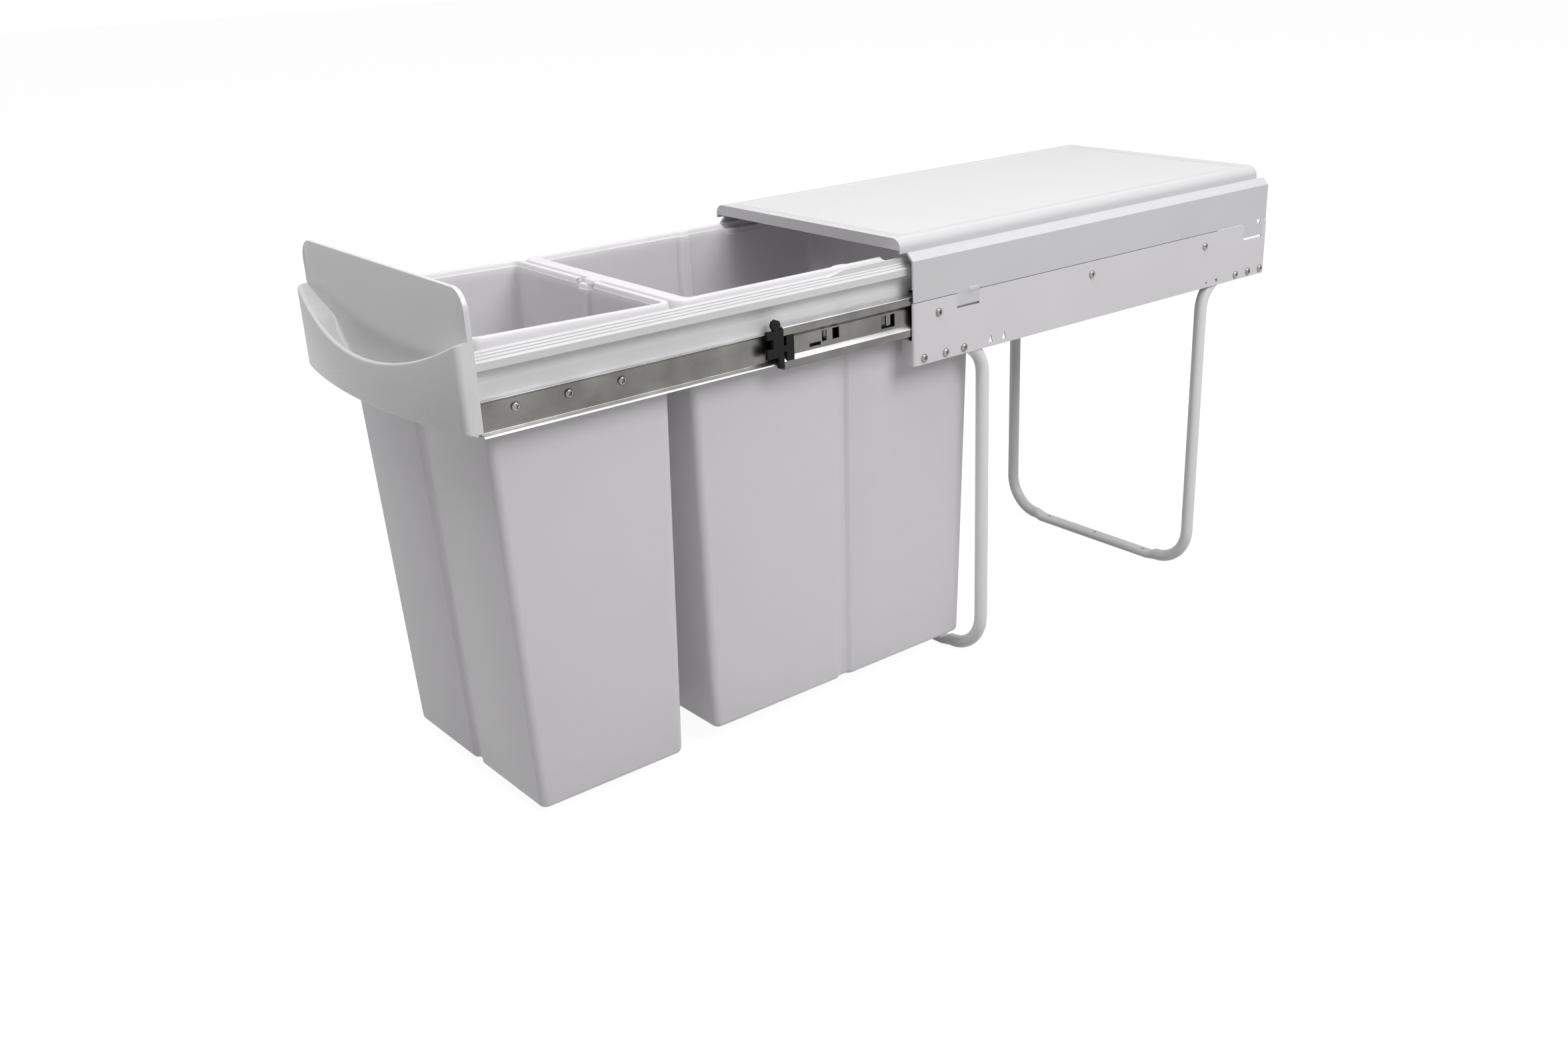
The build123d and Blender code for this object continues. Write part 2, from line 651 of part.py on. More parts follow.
with BuildPart() as bumper:
    with BuildSketch(Plane.YZ.offset(plate_inner_x - bumper_back)):
        with Locations((plate_y + bumper_plate / 2, slide_z)):
            Rectangle(bumper_plate, 2 * bumper_plate_up)
        with Locations((plate_y - bumper_block / 2,
                        slide_z + (bumper_block_top - bumper_block_foot) / 2)):
            Rectangle(bumper_block, bumper_block_top + bumper_block_foot)
        with Locations((block_y + bumper_fork / 2, slide_z + bumper_fork_up)):
            Rectangle(bumper_fork, bumper_fork_height, mode=Mode.SUBTRACT)
        with Locations((knob_y, slide_z + bumper_knob_up)):
            RegularPolygon(bumper_knob_radius, round_sides)
        with Locations((knob_y, slide_z + (bumper_knob_up + bumper_plate_up) / 2)):
            Rectangle(bumper_plate, bumper_knob_up - bumper_plate_up)
    extrude(amount=-bumper_thickness)
    with BuildSketch(slide_section(middle_member_y)):
        with Locations(((bumper_back + bumper_throat) / 2, 0)):
            Rectangle(bumper_throat - bumper_back, 2 * bumper_neck_up)
    extrude(amount=bumper_neck)
    with BuildSketch(slide_section(middle_member_y + bumper_neck)):
        with BuildLine():
            Polyline(
                (bumper_back, -head_up - head_spread),
                (bumper_throat, -head_up),
                (bumper_throat, head_up),
                (bumper_back, head_up + head_spread),
                close=True,
            )
        make_face()
    extrude(amount=bumper_head)
export_pair(bumper, "slide_bumper")


# ---------------------------------------------------------------- screws

def make_screws(plane, places, shank_length):
    """Pan-head screws whose heads stand on a plane, with their shanks behind it."""
    with BuildPart() as screws:
        with BuildSketch(plane):
            with Locations(*places):
                RegularPolygon(screw_head_radius, round_sides)
        extrude(amount=screw_head_height)
        with BuildSketch(plane):
            with Locations(*places):
                RegularPolygon(screw_shank_radius, round_sides)
        extrude(amount=-shank_length)
    return screws


leg_screws = make_screws(Plane.YZ.offset(plate_outer_x),
                         front_leg_screw_places + rear_leg_screw_places,
                         sheet_thickness + 3 * tube_wall)
export_pair(leg_screws, "leg_screws")
slide_fixing_screws = make_screws(Plane.YZ.offset(plate_outer_x), slide_screw_places,
                                  sheet_thickness + member_wall)
export_pair(slide_fixing_screws, "slide_screws")
rail_fixing_screws = make_screws(Plane.YZ.offset(drawer_member_x + member_wall),
                                 rail_screw_places, member_wall + rail_wall)
export_pair(rail_fixing_screws, "rail_screws")


# ---------------------------------------------------------------- carriage rails

rail_inner_x = drawer_member_x - rail_wall
rail_bottom_z = slide_z - rail_bottom_drop
tab_reach = 14.0              # front tab that the panel is screwed to
tab_wall = 1.5
panel_bottom_z = slide_z - panel_drop
tab_bottom_z = panel_bottom_z + 2.0
tab_top_z = tab_bottom_z + 39.0
tab_screw_inset = 8.0         # from the upper and the lower end of a tab
panel_screw_heights = [tab_bottom_z + tab_screw_inset, tab_top_z - tab_screw_inset]
panel_screw_x = rail_inner_x - tab_reach / 2
crossbar_flange = 14.0
crossbar_wall = 1.5
crossbar_bend = 2.0
crossbar_bin_gap = 1.0        # to the rear wall of the rear bin
crossbar_bottom_z = slide_z - 1.0
crossbar_screw_heights = [crossbar_bottom_z + 7.0, crossbar_bottom_z + 23.0]
rail_rear_y = rear_bin_end_y + crossbar_bin_gap + crossbar_wall
crossbar_screw_y = rail_rear_y - crossbar_flange / 2 - 1
crossbar_screw_places = [(crossbar_screw_y, height) for height in crossbar_screw_heights]
rib_pitch = rail_head_width / (rib_count + 1)

with BuildPart() as rail:
    with BuildSketch(across(panel_back_y)):
        with BuildLine():
            wall = Polyline(
                (rail_inner_x, rim_ledge_z - rim_ledge_wall),
                (rail_inner_x, rail_bottom_z),
                (drawer_member_x, rail_bottom_z),
                (drawer_member_x, rail_cove_z),
            )
            cove = ThreePointArc(
                wall @ 1,
                (drawer_member_x + (rail_outer_x - drawer_member_x) * (1 - cos(radians(45))),
                 rail_cove_z + (rail_head_z - rail_cove_z) * sin(radians(45))),
                (rail_outer_x, rail_head_z),
            )
            head = Polyline(
                cove @ 1,
                (rail_outer_x, rail_top_z),
                (rim_ledge_outer_x, rail_top_z),
                (rim_ledge_outer_x, rim_ledge_z),
                (rim_ledge_inner_x, rim_ledge_z),
                (rim_ledge_inner_x, rim_ledge_z - rim_ledge_wall),
                wall @ 0,
            )
        make_face()
        for turn in range(rib_count):
            with Locations((rim_ledge_outer_x + rib_pitch * (turn + 1), rail_top_z)):
                Rectangle(rib_width, 2 * rib_depth, mode=Mode.SUBTRACT)
    extrude(amount=panel_back_y - rail_rear_y)
    # raised fence beside the rim of the rear bin
    with BuildSketch(Plane.YZ.offset(rim_ledge_outer_x)):
        fence_y = panel_back_y + fence_start
        with BuildLine():
            Polyline(
                (fence_y, rail_top_z - rib_depth),
                (fence_y, rail_top_z),
                (fence_y + fence_ramp, rail_top_z + fence_height),
                (rail_rear_y, rail_top_z + fence_height),
                (rail_rear_y, rail_top_z - rib_depth),
                close=True,
            )
        make_face()
    extrude(amount=fence_wall)
    # tab across the front end, behind the panel
    with BuildSketch(across(panel_back_y)):
        with Locations((rail_inner_x - tab_reach / 2 + rail_wall / 2,
                        (tab_bottom_z + tab_top_z) / 2)):
            Rectangle(tab_reach + rail_wall, tab_top_z - tab_bottom_z)
        with Locations(*[(panel_screw_x, height) for height in panel_screw_heights]):
            RegularPolygon(screw_hole_radius, round_sides, False, mode=Mode.SUBTRACT)
    extrude(amount=-tab_wall)
    with BuildSketch(Plane.YZ.offset(drawer_member_x)):
        with Locations(*rail_screw_places, *crossbar_screw_places):
            RegularPolygon(screw_hole_radius, round_sides, False)
    extrude(amount=-rail_wall, mode=Mode.SUBTRACT)
export_pair(rail, "carriage_rail")

with BuildPart() as crossbar:
    with BuildSketch(Plane.XY.offset(crossbar_bottom_z)):
        with BuildLine():
            FilletPolyline(
                (-rail_inner_x + crossbar_wall / 2, rail_rear_y - crossbar_flange),
                (-rail_inner_x + crossbar_wall / 2, rail_rear_y - crossbar_wall / 2),
                (rail_inner_x - crossbar_wall / 2, rail_rear_y - crossbar_wall / 2),
                (rail_inner_x - crossbar_wall / 2, rail_rear_y - crossbar_flange),
                radius=crossbar_bend,
            )
        trace(line_width=crossbar_wall)
    extrude(amount=rim_ledge_z - rim_ledge_wall - crossbar_bottom_z)
    with BuildSketch(Plane.YZ.offset(-rail_inner_x)):
        with Locations(*crossbar_screw_places):
            RegularPolygon(screw_hole_radius, round_sides, False)
    extrude(amount=2 * rail_inner_x, mode=Mode.SUBTRACT)
label_and_export(crossbar, "rear_crossbar")

inner_face = Plane(origin=(rail_inner_x - crossbar_wall, 0, 0), x_dir=(0, -1, 0),
                   z_dir=(-1, 0, 0))
crossbar_screws = make_screws(inner_face, [(-y, z) for y, z in crossbar_screw_places],
                              crossbar_wall + rail_wall)
export_pair(crossbar_screws, "crossbar_screws")


# ---------------------------------------------------------------- front panel

def bow_plan(z, inset, half_width):
    """Plan of the handle bow at height z, set in by a wall, closed along the panel."""
    end_y = panel_front_y - bow_end_depth + inset
    middle_y = panel_front_y - bow_middle_depth + inset
    with BuildSketch(Plane.XY.offset(z)) as plan:
        with BuildLine():
            sides = Polyline((-half_width, end_y), (-half_width, panel_front_y),
                             (half_width, panel_front_y), (half_width, end_y))
            ThreePointArc(sides @ 0, (0, middle_y), sides @ 1)
        make_face()
    return plan.sketch


panel_half_width = plate_outer_x - panel_side_gap
panel_top_z = panel_bottom_z + panel_height
bow_top_z = panel_bottom_z + bow_height
pocket_floor_z = panel_bottom_z + pocket_floor_rise
pocket_half_width = panel_half_width - pocket_side
pocket_floor_half_width = pocket_half_width - pocket_slope
panel_screw_places = [(side * panel_screw_x, height)
                      for side in (-1, 1) for height in panel_screw_heights]

with BuildPart() as finger_pocket:
    with BuildSketch(across(panel_front_y)):
        with BuildLine():
            bowl = FilletPolyline(
                (-pocket_half_width, bow_top_z),
                (-pocket_floor_half_width, pocket_floor_z),
                (pocket_floor_half_width, pocket_floor_z),
                (pocket_half_width, bow_top_z),
                radius=pocket_corner_radius,
            )
            Polyline(bowl @ 0, (-pocket_half_width, panel_top_z),
                     (pocket_half_width, panel_top_z), bowl @ 1)
        make_face()
    extrude(amount=bow_middle_depth)
    extrude(bow_plan(pocket_floor_z, bow_wall, pocket_half_width),
            amount=panel_top_z - pocket_floor_z, mode=Mode.INTERSECT)

with BuildPart() as front_panel:
    extrude(bow_plan(panel_bottom_z, 0, panel_half_width), amount=bow_top_z - panel_bottom_z)
    corners = front_panel.edges().filter_by(Axis.Z).group_by(Axis.Y)[0]
    fillet(corners, bow_corner_radius)
    # the lip dips in the middle
    with BuildSketch(across(panel_front_y)):
        with BuildLine():
            dip_end = panel_half_width + cut_past
            dip = ThreePointArc((-dip_end, bow_top_z), (0, bow_top_z - bow_dip),
                                (dip_end, bow_top_z))
            Polyline(dip @ 0, (-dip_end, panel_top_z), (dip_end, panel_top_z), dip @ 1)
        make_face()
    extrude(amount=bow_middle_depth + cut_past, mode=Mode.SUBTRACT)
    add(finger_pocket.part, mode=Mode.SUBTRACT)
    extrude(bow_plan(panel_bottom_z, underside_wall, panel_half_width - underside_wall),
            amount=underside_depth, mode=Mode.SUBTRACT)
    # the panel plate
    with BuildSketch(across(panel_back_y)):
        with Locations((0, (panel_bottom_z + panel_top_z) / 2)):
            Rectangle(2 * panel_half_width, panel_top_z - panel_bottom_z)
    extrude(amount=panel_wall)
    upper = front_panel.edges().filter_by(Axis.Y).group_by(Axis.Z)[-1]
    fillet(upper, panel_corner_radius)
    with BuildSketch(across(panel_back_y)):
        with Locations(*panel_screw_places):
            RegularPolygon(screw_hole_radius, round_sides, False)
    extrude(amount=panel_wall, mode=Mode.SUBTRACT)
label_and_export(front_panel, "front_panel")

tab_face = Plane(origin=(0, panel_back_y + tab_wall, 0), x_dir=(-1, 0, 0), z_dir=(0, 1, 0))
panel_screws = make_screws(tab_face, panel_screw_places, tab_wall + panel_wall)
label_and_export(panel_screws, "panel_screws")


# ---------------------------------------------------------------- bins

def bin_section(z, half_width, start_y, length, corner, groove_axis, inset):
    """One level of a bin: a rounded rectangle with a shallow groove on two opposite walls."""
    middle_y = start_y + length / 2
    with BuildSketch(Plane.XY.offset(z)) as level:
        with Locations((0, middle_y)):
            RectangleRounded(2 * (half_width - inset), length - 2 * inset, corner - inset)
        depth = groove_depth
        half_mouth = groove_width / 2 + inset * groove_spread
        half_floor = half_mouth - groove_depth
        for side in (-1, 1):
            if groove_axis == "Y":
                wall = middle_y + side * (length / 2 - inset)
                corners = [(-half_mouth, wall + side), (half_mouth, wall + side),
                           (half_mouth, wall), (half_floor, wall - side * depth),
                           (-half_floor, wall - side * depth), (-half_mouth, wall)]
            else:
                wall = side * (half_width - inset)
                corners = [(wall + side, middle_y - half_mouth),
                           (wall + side, middle_y + half_mouth),
                           (wall, middle_y + half_mouth),
                           (wall - side * depth, middle_y + half_floor),
                           (wall - side * depth, middle_y - half_floor),
                           (wall, middle_y - half_mouth)]
            with BuildLine():
                Polyline(*corners, close=True)
            make_face(mode=Mode.SUBTRACT)
    return level.sketch


def bin_levels(floor_z, bottom_y, bottom_length, top_y, top_length, groove_axis, inset,
               foot_angles):
    """The levels of a bin, set in by a wall, from its rounded foot to its mouth."""
    levels = []
    for angle in foot_angles:
        draw_in = bin_foot_radius * (1 - sin(radians(angle)))
        height = bin_foot_radius * (1 - cos(radians(angle)))
        levels.append(bin_section(
            floor_z + inset + height, bin_top_half_width - bin_side_draft - draw_in,
            bottom_y + draw_in, bottom_length - 2 * draw_in, bin_corner_radius - draw_in,
            groove_axis, inset))
    levels.append(bin_section(
        rim_ledge_z + bin_rim_thickness, bin_top_half_width, top_y, top_length,
        bin_corner_radius, groove_axis, inset))
    return levels


def make_bin(floor_z, top_y, top_length, front_draft, rear_draft, groove_axis,
             front_rim, rear_rim):
    """A tapered bin with grooved walls and a flat rim, open at the top."""
    bottom_y = top_y + front_draft
    bottom_length = top_length - front_draft - rear_draft
    with BuildPart() as body:
        loft(sections=bin_levels(floor_z, bottom_y, bottom_length, top_y, top_length,
                                 groove_axis, 0, (0, 45, 90)), ruled=True)
    with BuildPart() as hollow:
        loft(sections=bin_levels(floor_z, bottom_y, bottom_length, top_y, top_length,
                                 groove_axis, bin_wall, (0, 90)), ruled=True)
    with BuildPart() as shell:
        with BuildSketch(Plane.XY.offset(rim_ledge_z)):
            with Locations((0, top_y + (top_length + rear_rim - front_rim) / 2)):
                RectangleRounded(2 * (bin_top_half_width + bin_side_rim),
                                 top_length + front_rim + rear_rim,
                                 bin_corner_radius + min(front_rim, rear_rim, bin_side_rim))
        extrude(amount=bin_rim_thickness)
        add(body.part)
        add(hollow.part, mode=Mode.SUBTRACT)
    return shell.part


with BuildPart() as front_bin:
    add(make_bin(front_bin_floor_z, front_bin_top_y, front_bin_top_length,
                 front_bin_front_draft, front_bin_rear_draft, "Y",
                 front_bin_front_rim, front_bin_rear_rim))
    with BuildSketch(Plane.XY.offset(rim_ledge_z)):
        with Locations((0, front_bin_end_y + front_bin_rear_rim / 2 + rim_notch_margin)):
            Rectangle(rim_tab_width + 2 * rim_notch_play, front_bin_rear_rim)
    extrude(amount=bin_rim_thickness, mode=Mode.SUBTRACT)
label_and_export(front_bin, "front_bin")

with BuildPart() as rear_bin:
    add(make_bin(rear_bin_floor_z, rear_bin_top_y, rear_bin_top_length,
                 rear_bin_front_draft, rear_bin_rear_draft, "X",
                 rear_bin_front_rim, rear_bin_rear_rim))
    with BuildSketch(Plane.XY.offset(rim_ledge_z)):
        with Locations((0, rear_bin_top_y - rear_bin_front_rim
                        + (rim_tab_root - rim_tab_length) / 2)):
            Rectangle(rim_tab_width, rim_tab_length + rim_tab_root)
    extrude(amount=bin_rim_thickness)
label_and_export(rear_bin, "rear_bin")
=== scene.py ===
"""A pull-out waste bin unit for a kitchen base cabinet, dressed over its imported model."""

from math import cos, pi, radians, sin, sqrt

import bmesh
import bpy
from mathutils import Matrix, Vector
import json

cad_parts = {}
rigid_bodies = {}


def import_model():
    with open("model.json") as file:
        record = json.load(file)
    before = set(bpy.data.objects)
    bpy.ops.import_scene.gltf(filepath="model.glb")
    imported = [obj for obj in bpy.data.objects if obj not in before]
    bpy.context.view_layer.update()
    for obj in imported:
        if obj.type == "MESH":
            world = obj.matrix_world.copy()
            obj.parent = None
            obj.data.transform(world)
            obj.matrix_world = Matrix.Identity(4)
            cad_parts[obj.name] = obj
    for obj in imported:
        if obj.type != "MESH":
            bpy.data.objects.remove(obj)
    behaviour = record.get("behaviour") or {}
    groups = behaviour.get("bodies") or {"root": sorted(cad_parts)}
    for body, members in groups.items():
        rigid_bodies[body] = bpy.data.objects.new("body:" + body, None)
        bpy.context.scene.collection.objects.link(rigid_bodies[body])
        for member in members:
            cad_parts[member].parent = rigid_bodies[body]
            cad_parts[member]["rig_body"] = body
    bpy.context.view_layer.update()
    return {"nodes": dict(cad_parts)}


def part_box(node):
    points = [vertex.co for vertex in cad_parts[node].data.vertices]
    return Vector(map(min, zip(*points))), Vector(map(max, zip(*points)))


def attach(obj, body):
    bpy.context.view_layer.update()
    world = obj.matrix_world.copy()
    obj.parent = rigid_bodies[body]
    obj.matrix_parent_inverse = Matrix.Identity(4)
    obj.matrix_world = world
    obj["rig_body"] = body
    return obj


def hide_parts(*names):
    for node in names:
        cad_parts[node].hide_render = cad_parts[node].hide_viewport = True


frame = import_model()
sides = ("right", "left")


# ------------------------------------------------------------------ side plates
# The two side plates are 1.2 mm sheet steel, cut and folded along the front edge, with
# notches for the hooks of the cover. They are powder coated white: a smooth coat with a
# faint orange-peel surface, a little thicker in places.

def coat(name, colour, roughness, peel_scale=900.0, peel_height=0.00004, cloudiness=0.03):
    """A sprayed or moulded finish: faint clouds in the colour and a fine uneven surface."""
    finish = bpy.data.materials.new(name)
    finish.use_nodes = True
    nodes, links = finish.node_tree.nodes, finish.node_tree.links
    shader = nodes["Principled BSDF"]
    place = nodes.new("ShaderNodeTexCoord")
    clouds = nodes.new("ShaderNodeTexNoise")
    clouds.inputs["Scale"].default_value = 14.0
    clouds.inputs["Detail"].default_value = 4.0
    links.new(place.outputs["Object"], clouds.inputs["Vector"])
    tint = nodes.new("ShaderNodeValToRGB")
    tint.color_ramp.elements[0].position = 0.3
    tint.color_ramp.elements[1].position = 0.7
    tint.color_ramp.elements[0].color = [part * (1 - cloudiness) for part in colour] + [1]
    tint.color_ramp.elements[1].color = list(colour) + [1]
    links.new(clouds.outputs["Fac"], tint.inputs["Fac"])
    links.new(tint.outputs["Color"], shader.inputs["Base Color"])
    peel = nodes.new("ShaderNodeTexNoise")
    peel.inputs["Scale"].default_value = peel_scale
    peel.inputs["Detail"].default_value = 2.0
    links.new(place.outputs["Object"], peel.inputs["Vector"])
    sheen = nodes.new("ShaderNodeMapRange")
    sheen.inputs["To Min"].default_value = roughness - 0.06
    sheen.inputs["To Max"].default_value = roughness + 0.06
    links.new(peel.outputs["Fac"], sheen.inputs["Value"])
    links.new(sheen.outputs["Result"], shader.inputs["Roughness"])
    bump = nodes.new("ShaderNodeBump")
    bump.inputs["Strength"].default_value = 0.6
    bump.inputs["Distance"].default_value = peel_height
    links.new(peel.outputs["Fac"], bump.inputs["Height"])
    links.new(bump.outputs["Normal"], shader.inputs["Normal"])
    return finish


crease_angle = radians(38)
weld_distance = 0.000002


def add_piece(name, mesh):
    """A new object around a mesh, smooth but for its real edges."""
    mesh.shade_smooth()
    mesh.set_sharp_from_angle(angle=crease_angle)
    piece = bpy.data.objects.new(name, mesh)
    bpy.context.scene.collection.objects.link(piece)
    return piece


def ease_edges(piece, radius, segments=2):
    """Rounds the sharp edges of a piece, as its press, mould or coat leaves them."""
    eased = piece.modifiers.new("eased_edges", "BEVEL")
    eased.width = radius
    eased.segments = segments
    eased.limit_method = "ANGLE"
    eased.angle_limit = radians(32)
    eased.harden_normals = True
    return piece


def formed(name, node, radius, segments=2):
    """A piece formed like the node of the frame that it stands for, with eased edges."""
    mesh = bpy.data.meshes.new(name)
    shape = bmesh.new()
    shape.from_mesh(frame["nodes"][node].data)
    bmesh.ops.remove_doubles(shape, verts=shape.verts, dist=weld_distance)
    bmesh.ops.dissolve_limit(shape, angle_limit=radians(1), verts=shape.verts,
                             edges=shape.edges)
    shape.to_mesh(mesh)
    shape.free()
    return ease_edges(add_piece(name, mesh), radius, segments)


def stands_for(piece, node, finish):
    """Dresses a piece in its finish and puts it in the place of a node, on its body."""
    piece.data.materials.clear()
    piece.data.materials.append(finish)
    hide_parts(node)
    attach(piece, frame["nodes"][node]["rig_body"])
    return piece


plate_edge = 0.0003
plate_coat = coat("plate_powder_coat", (0.76, 0.742, 0.762), roughness=0.42)
for side in sides:
    plate = formed(f"plate_{side}", f"side_plate_{side}", plate_edge)
    stands_for(plate, f"side_plate_{side}", plate_coat)


# ------------------------------------------------------------------ cover
# One white plastic moulding that closes the unit at the top. Its edges and skirts are
# smooth, and the sunken field on top has a fine leather-like grain. Four hooks on its
# skirts drop into the notches of the side plates.

def grained(name, colour):
    """The etched grain of the top field: small irregular pebbles, a little darker."""
    finish = coat(name, colour, roughness=0.55, peel_scale=1500.0, cloudiness=0.02)
    nodes, links = finish.node_tree.nodes, finish.node_tree.links
    pebbles = nodes.new("ShaderNodeTexVoronoi")
    pebbles.inputs["Scale"].default_value = 650.0
    links.new(nodes["Texture Coordinate"].outputs["Object"], pebbles.inputs["Vector"])
    grain = nodes.new("ShaderNodeBump")
    grain.inputs["Strength"].default_value = 0.8
    grain.inputs["Distance"].default_value = 0.00015
    links.new(pebbles.outputs["Distance"], grain.inputs["Height"])
    links.new(nodes["Bump"].outputs["Normal"], grain.inputs["Normal"])
    links.new(grain.outputs["Normal"], nodes["Principled BSDF"].inputs["Normal"])
    return finish


cover_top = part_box("cover")[1].z
field_drop = 0.0005
cover_edge = 0.0007
cover_smooth = coat("cover_smooth", (0.68, 0.67, 0.685), roughness=0.33)
cover = formed("cover_moulding", "cover", cover_edge, segments=3)
stands_for(cover, "cover", cover_smooth)
cover.data.materials.append(grained("cover_grain", (0.74, 0.74, 0.745)))
for face in cover.data.polygons:
    if face.normal.z > 0.9 and abs(face.center.z - cover_top + field_drop) < field_drop / 4:
        face.material_index = 1


# ------------------------------------------------------------------ legs
# Each leg is one length of 12 mm steel tube, bent in four places, with its open ends
# behind the side plates. The rung on the floor is pressed flat and drilled for screws.

tube_radius = 0.006
tube_bore = 0.0048
knee_radius = 0.030
corner_radius = 0.038
flat_thickness = 0.007
flat_width = 0.0148
flat_taper = 0.009
rung_start = 0.001
rung_hole_inset = 0.0088
rung_hole_radius = 0.00225
tube_facets = 28
bore_depth = 0.02
knee_steps = 10
corner_steps = 12
press_shares = (0.15, 0.5, 0.85, 1.0)


def skin(name, rings):
    """A closed mesh over a row of rings that all have the same number of points."""
    shape = bmesh.new()
    rows = [[shape.verts.new(point) for point in ring] for ring in rings]
    count = len(rings[0])
    for row, next_row in zip(rows, rows[1:]):
        for turn in range(count):
            following = (turn + 1) % count
            shape.faces.new((row[turn], row[following], next_row[following], next_row[turn]))
    shape.faces.new(reversed(rows[0]))
    shape.faces.new(rows[-1])
    bmesh.ops.recalc_face_normals(shape, faces=shape.faces)
    mesh = bpy.data.meshes.new(name)
    shape.to_mesh(mesh)
    shape.free()
    return mesh


def bend(start, corner, end, radius, steps):
    """Points of the round bend that joins two straight runs of a tube at a corner."""
    back = (start - corner).normalized()
    ahead = (end - corner).normalized()
    points = []
    for step in range(steps + 1):
        turn = step / steps * pi / 2
        points.append(corner + radius * ((1 - sin(turn)) * back + (1 - cos(turn)) * ahead))
    return points


def tube_ring(centre, direction, across, radius):
    """A ring of points round a tube's centre line."""
    upright = direction.cross(across).normalized()
    return [centre + radius * (cos(angle) * across + sin(angle) * upright)
            for angle in [2 * pi * turn / tube_facets for turn in range(tube_facets)]]


def pressed(ring, x, leg_y, share):
    """The last round ring of a tube, moved along the rung and pressed flat by a share."""
    height = 1 + share * (flat_thickness / (2 * tube_radius) - 1)
    spread = share * (flat_width - flat_thickness) / 2
    points = []
    for point in ring:
        across = (point.y - leg_y) * height
        side = 1 if across > 1e-6 else -1 if across < -1e-6 else 0
        points.append(Vector((x, leg_y + across + side * spread, point.z * height)))
    return points


def leg_rings(leg_x, leg_y, run_end_y, run_z):
    """All rings of a leg: from inside one open end over the rung to the other open end."""
    run_end = Vector((leg_x, run_end_y, run_z))
    knee = Vector((leg_x, leg_y, run_z))
    corner = Vector((leg_x, leg_y, tube_radius))
    rung = Vector((0, leg_y, tube_radius))
    line = ([run_end] + bend(run_end, knee, corner, knee_radius, knee_steps)
            + bend(knee, corner, rung, corner_radius, corner_steps))
    line.append(line[-1] - Vector((rung_start, 0, 0)))
    across = Vector((1, 0, 0))
    heading = (line[1] - line[0]).normalized()
    rings = [tube_ring(line[0] + depth * heading, heading, across, tube_bore)
             for depth in (bore_depth, 0.0)]
    for number, point in enumerate(line):
        before = line[max(number - 1, 0)]
        after = line[min(number + 1, len(line) - 1)]
        direction = (after - before).normalized()
        across = (across - across.dot(direction) * direction).normalized()
        rings.append(tube_ring(point, direction, across, tube_radius))
    round_ring = rings[-1]
    for share in press_shares:
        rings.append(pressed(round_ring, line[-1].x - share * flat_taper, leg_y, share))
    other_half = [[Vector((-point.x, point.y, point.z)) for point in ring]
                  for ring in reversed(rings)]
    return rings + other_half


def drill(piece, radius, places, depth):
    """Drills round holes downwards through a piece."""
    bits = bmesh.new()
    for place in places:
        bmesh.ops.create_cone(bits, cap_ends=True, segments=24, radius1=radius,
                              radius2=radius, depth=depth,
                              matrix=Matrix.Translation(place))
    bit_mesh = bpy.data.meshes.new(f"{piece.name}_bits")
    bits.to_mesh(bit_mesh)
    bits.free()
    bit = bpy.data.objects.new(bit_mesh.name, bit_mesh)
    bpy.context.scene.collection.objects.link(bit)
    cut = piece.modifiers.new("drilled", "BOOLEAN")
    cut.object = bit
    cut.solver = "EXACT"
    with bpy.context.temp_override(object=piece, active_object=piece):
        bpy.ops.object.modifier_apply(modifier=cut.name)
    bpy.data.objects.remove(bit)


leg_coat = coat("leg_powder_coat", (0.88, 0.87, 0.88), roughness=0.30, peel_scale=700.0)
for leg_name, end in (("front_leg", 0), ("rear_leg", 1)):
    low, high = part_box(leg_name)
    rung_y = low.y + flat_width / 2 if end else high.y - flat_width / 2
    open_end_y = high.y if end else low.y
    leg_x = high.x - tube_radius
    rings = leg_rings(leg_x, rung_y, open_end_y, high.z - tube_radius)
    leg = add_piece(f"{leg_name}_tube", skin(f"{leg_name}_tube", rings))
    outer_hole = leg_x - corner_radius - rung_start - flat_taper - rung_hole_inset
    holes = [(x, rung_y, flat_thickness / 2) for x in (-outer_hole, 0, outer_hole)]
    drill(leg, rung_hole_radius, holes, depth=2 * flat_thickness)
    leg.data.set_sharp_from_angle(angle=crease_angle)
    stands_for(leg, leg_name, leg_coat)


# ------------------------------------------------------------------ screws
# Zinc-plated pan-head screws with a cross recess. They hold the legs and the slides on the
# side plates, the slides on the carriage rails, and the rails on the panel and crossbar.

head_radius = 0.0035
head_height = 0.0020
shank_radius = 0.0019
tip_radius = 0.0006
tip_length = 0.0012
head_profile = [(1.0, 0.0), (1.0, 0.0006), (0.94, 0.0012), (0.80, 0.0017),
                (0.62, head_height)]
screw_facets = 48
recess_arm = 0.0019
recess_width = 0.00055
recess_depth = 0.0012
recess_taper = 0.7
first_turn = 0.4
turn_between = 1.9


def islands(node):
    """The box of each separate solid of a node, as (lowest corner, highest corner)."""
    shape = bmesh.new()
    shape.from_mesh(frame["nodes"][node].data)
    bmesh.ops.remove_doubles(shape, verts=shape.verts, dist=weld_distance)
    unseen = set(shape.verts)
    boxes = []
    while unseen:
        waiting = [unseen.pop()]
        group = []
        while waiting:
            vertex = waiting.pop()
            group.append(vertex.co)
            for link in vertex.link_edges:
                other = link.other_vert(vertex)
                if other in unseen:
                    unseen.remove(other)
                    waiting.append(other)
        boxes.append((Vector([min(co[axis] for co in group) for axis in range(3)]),
                      Vector([max(co[axis] for co in group) for axis in range(3)])))
    shape.free()
    return sorted(boxes, key=lambda box: (box[0].y, box[0].z, box[0].x))


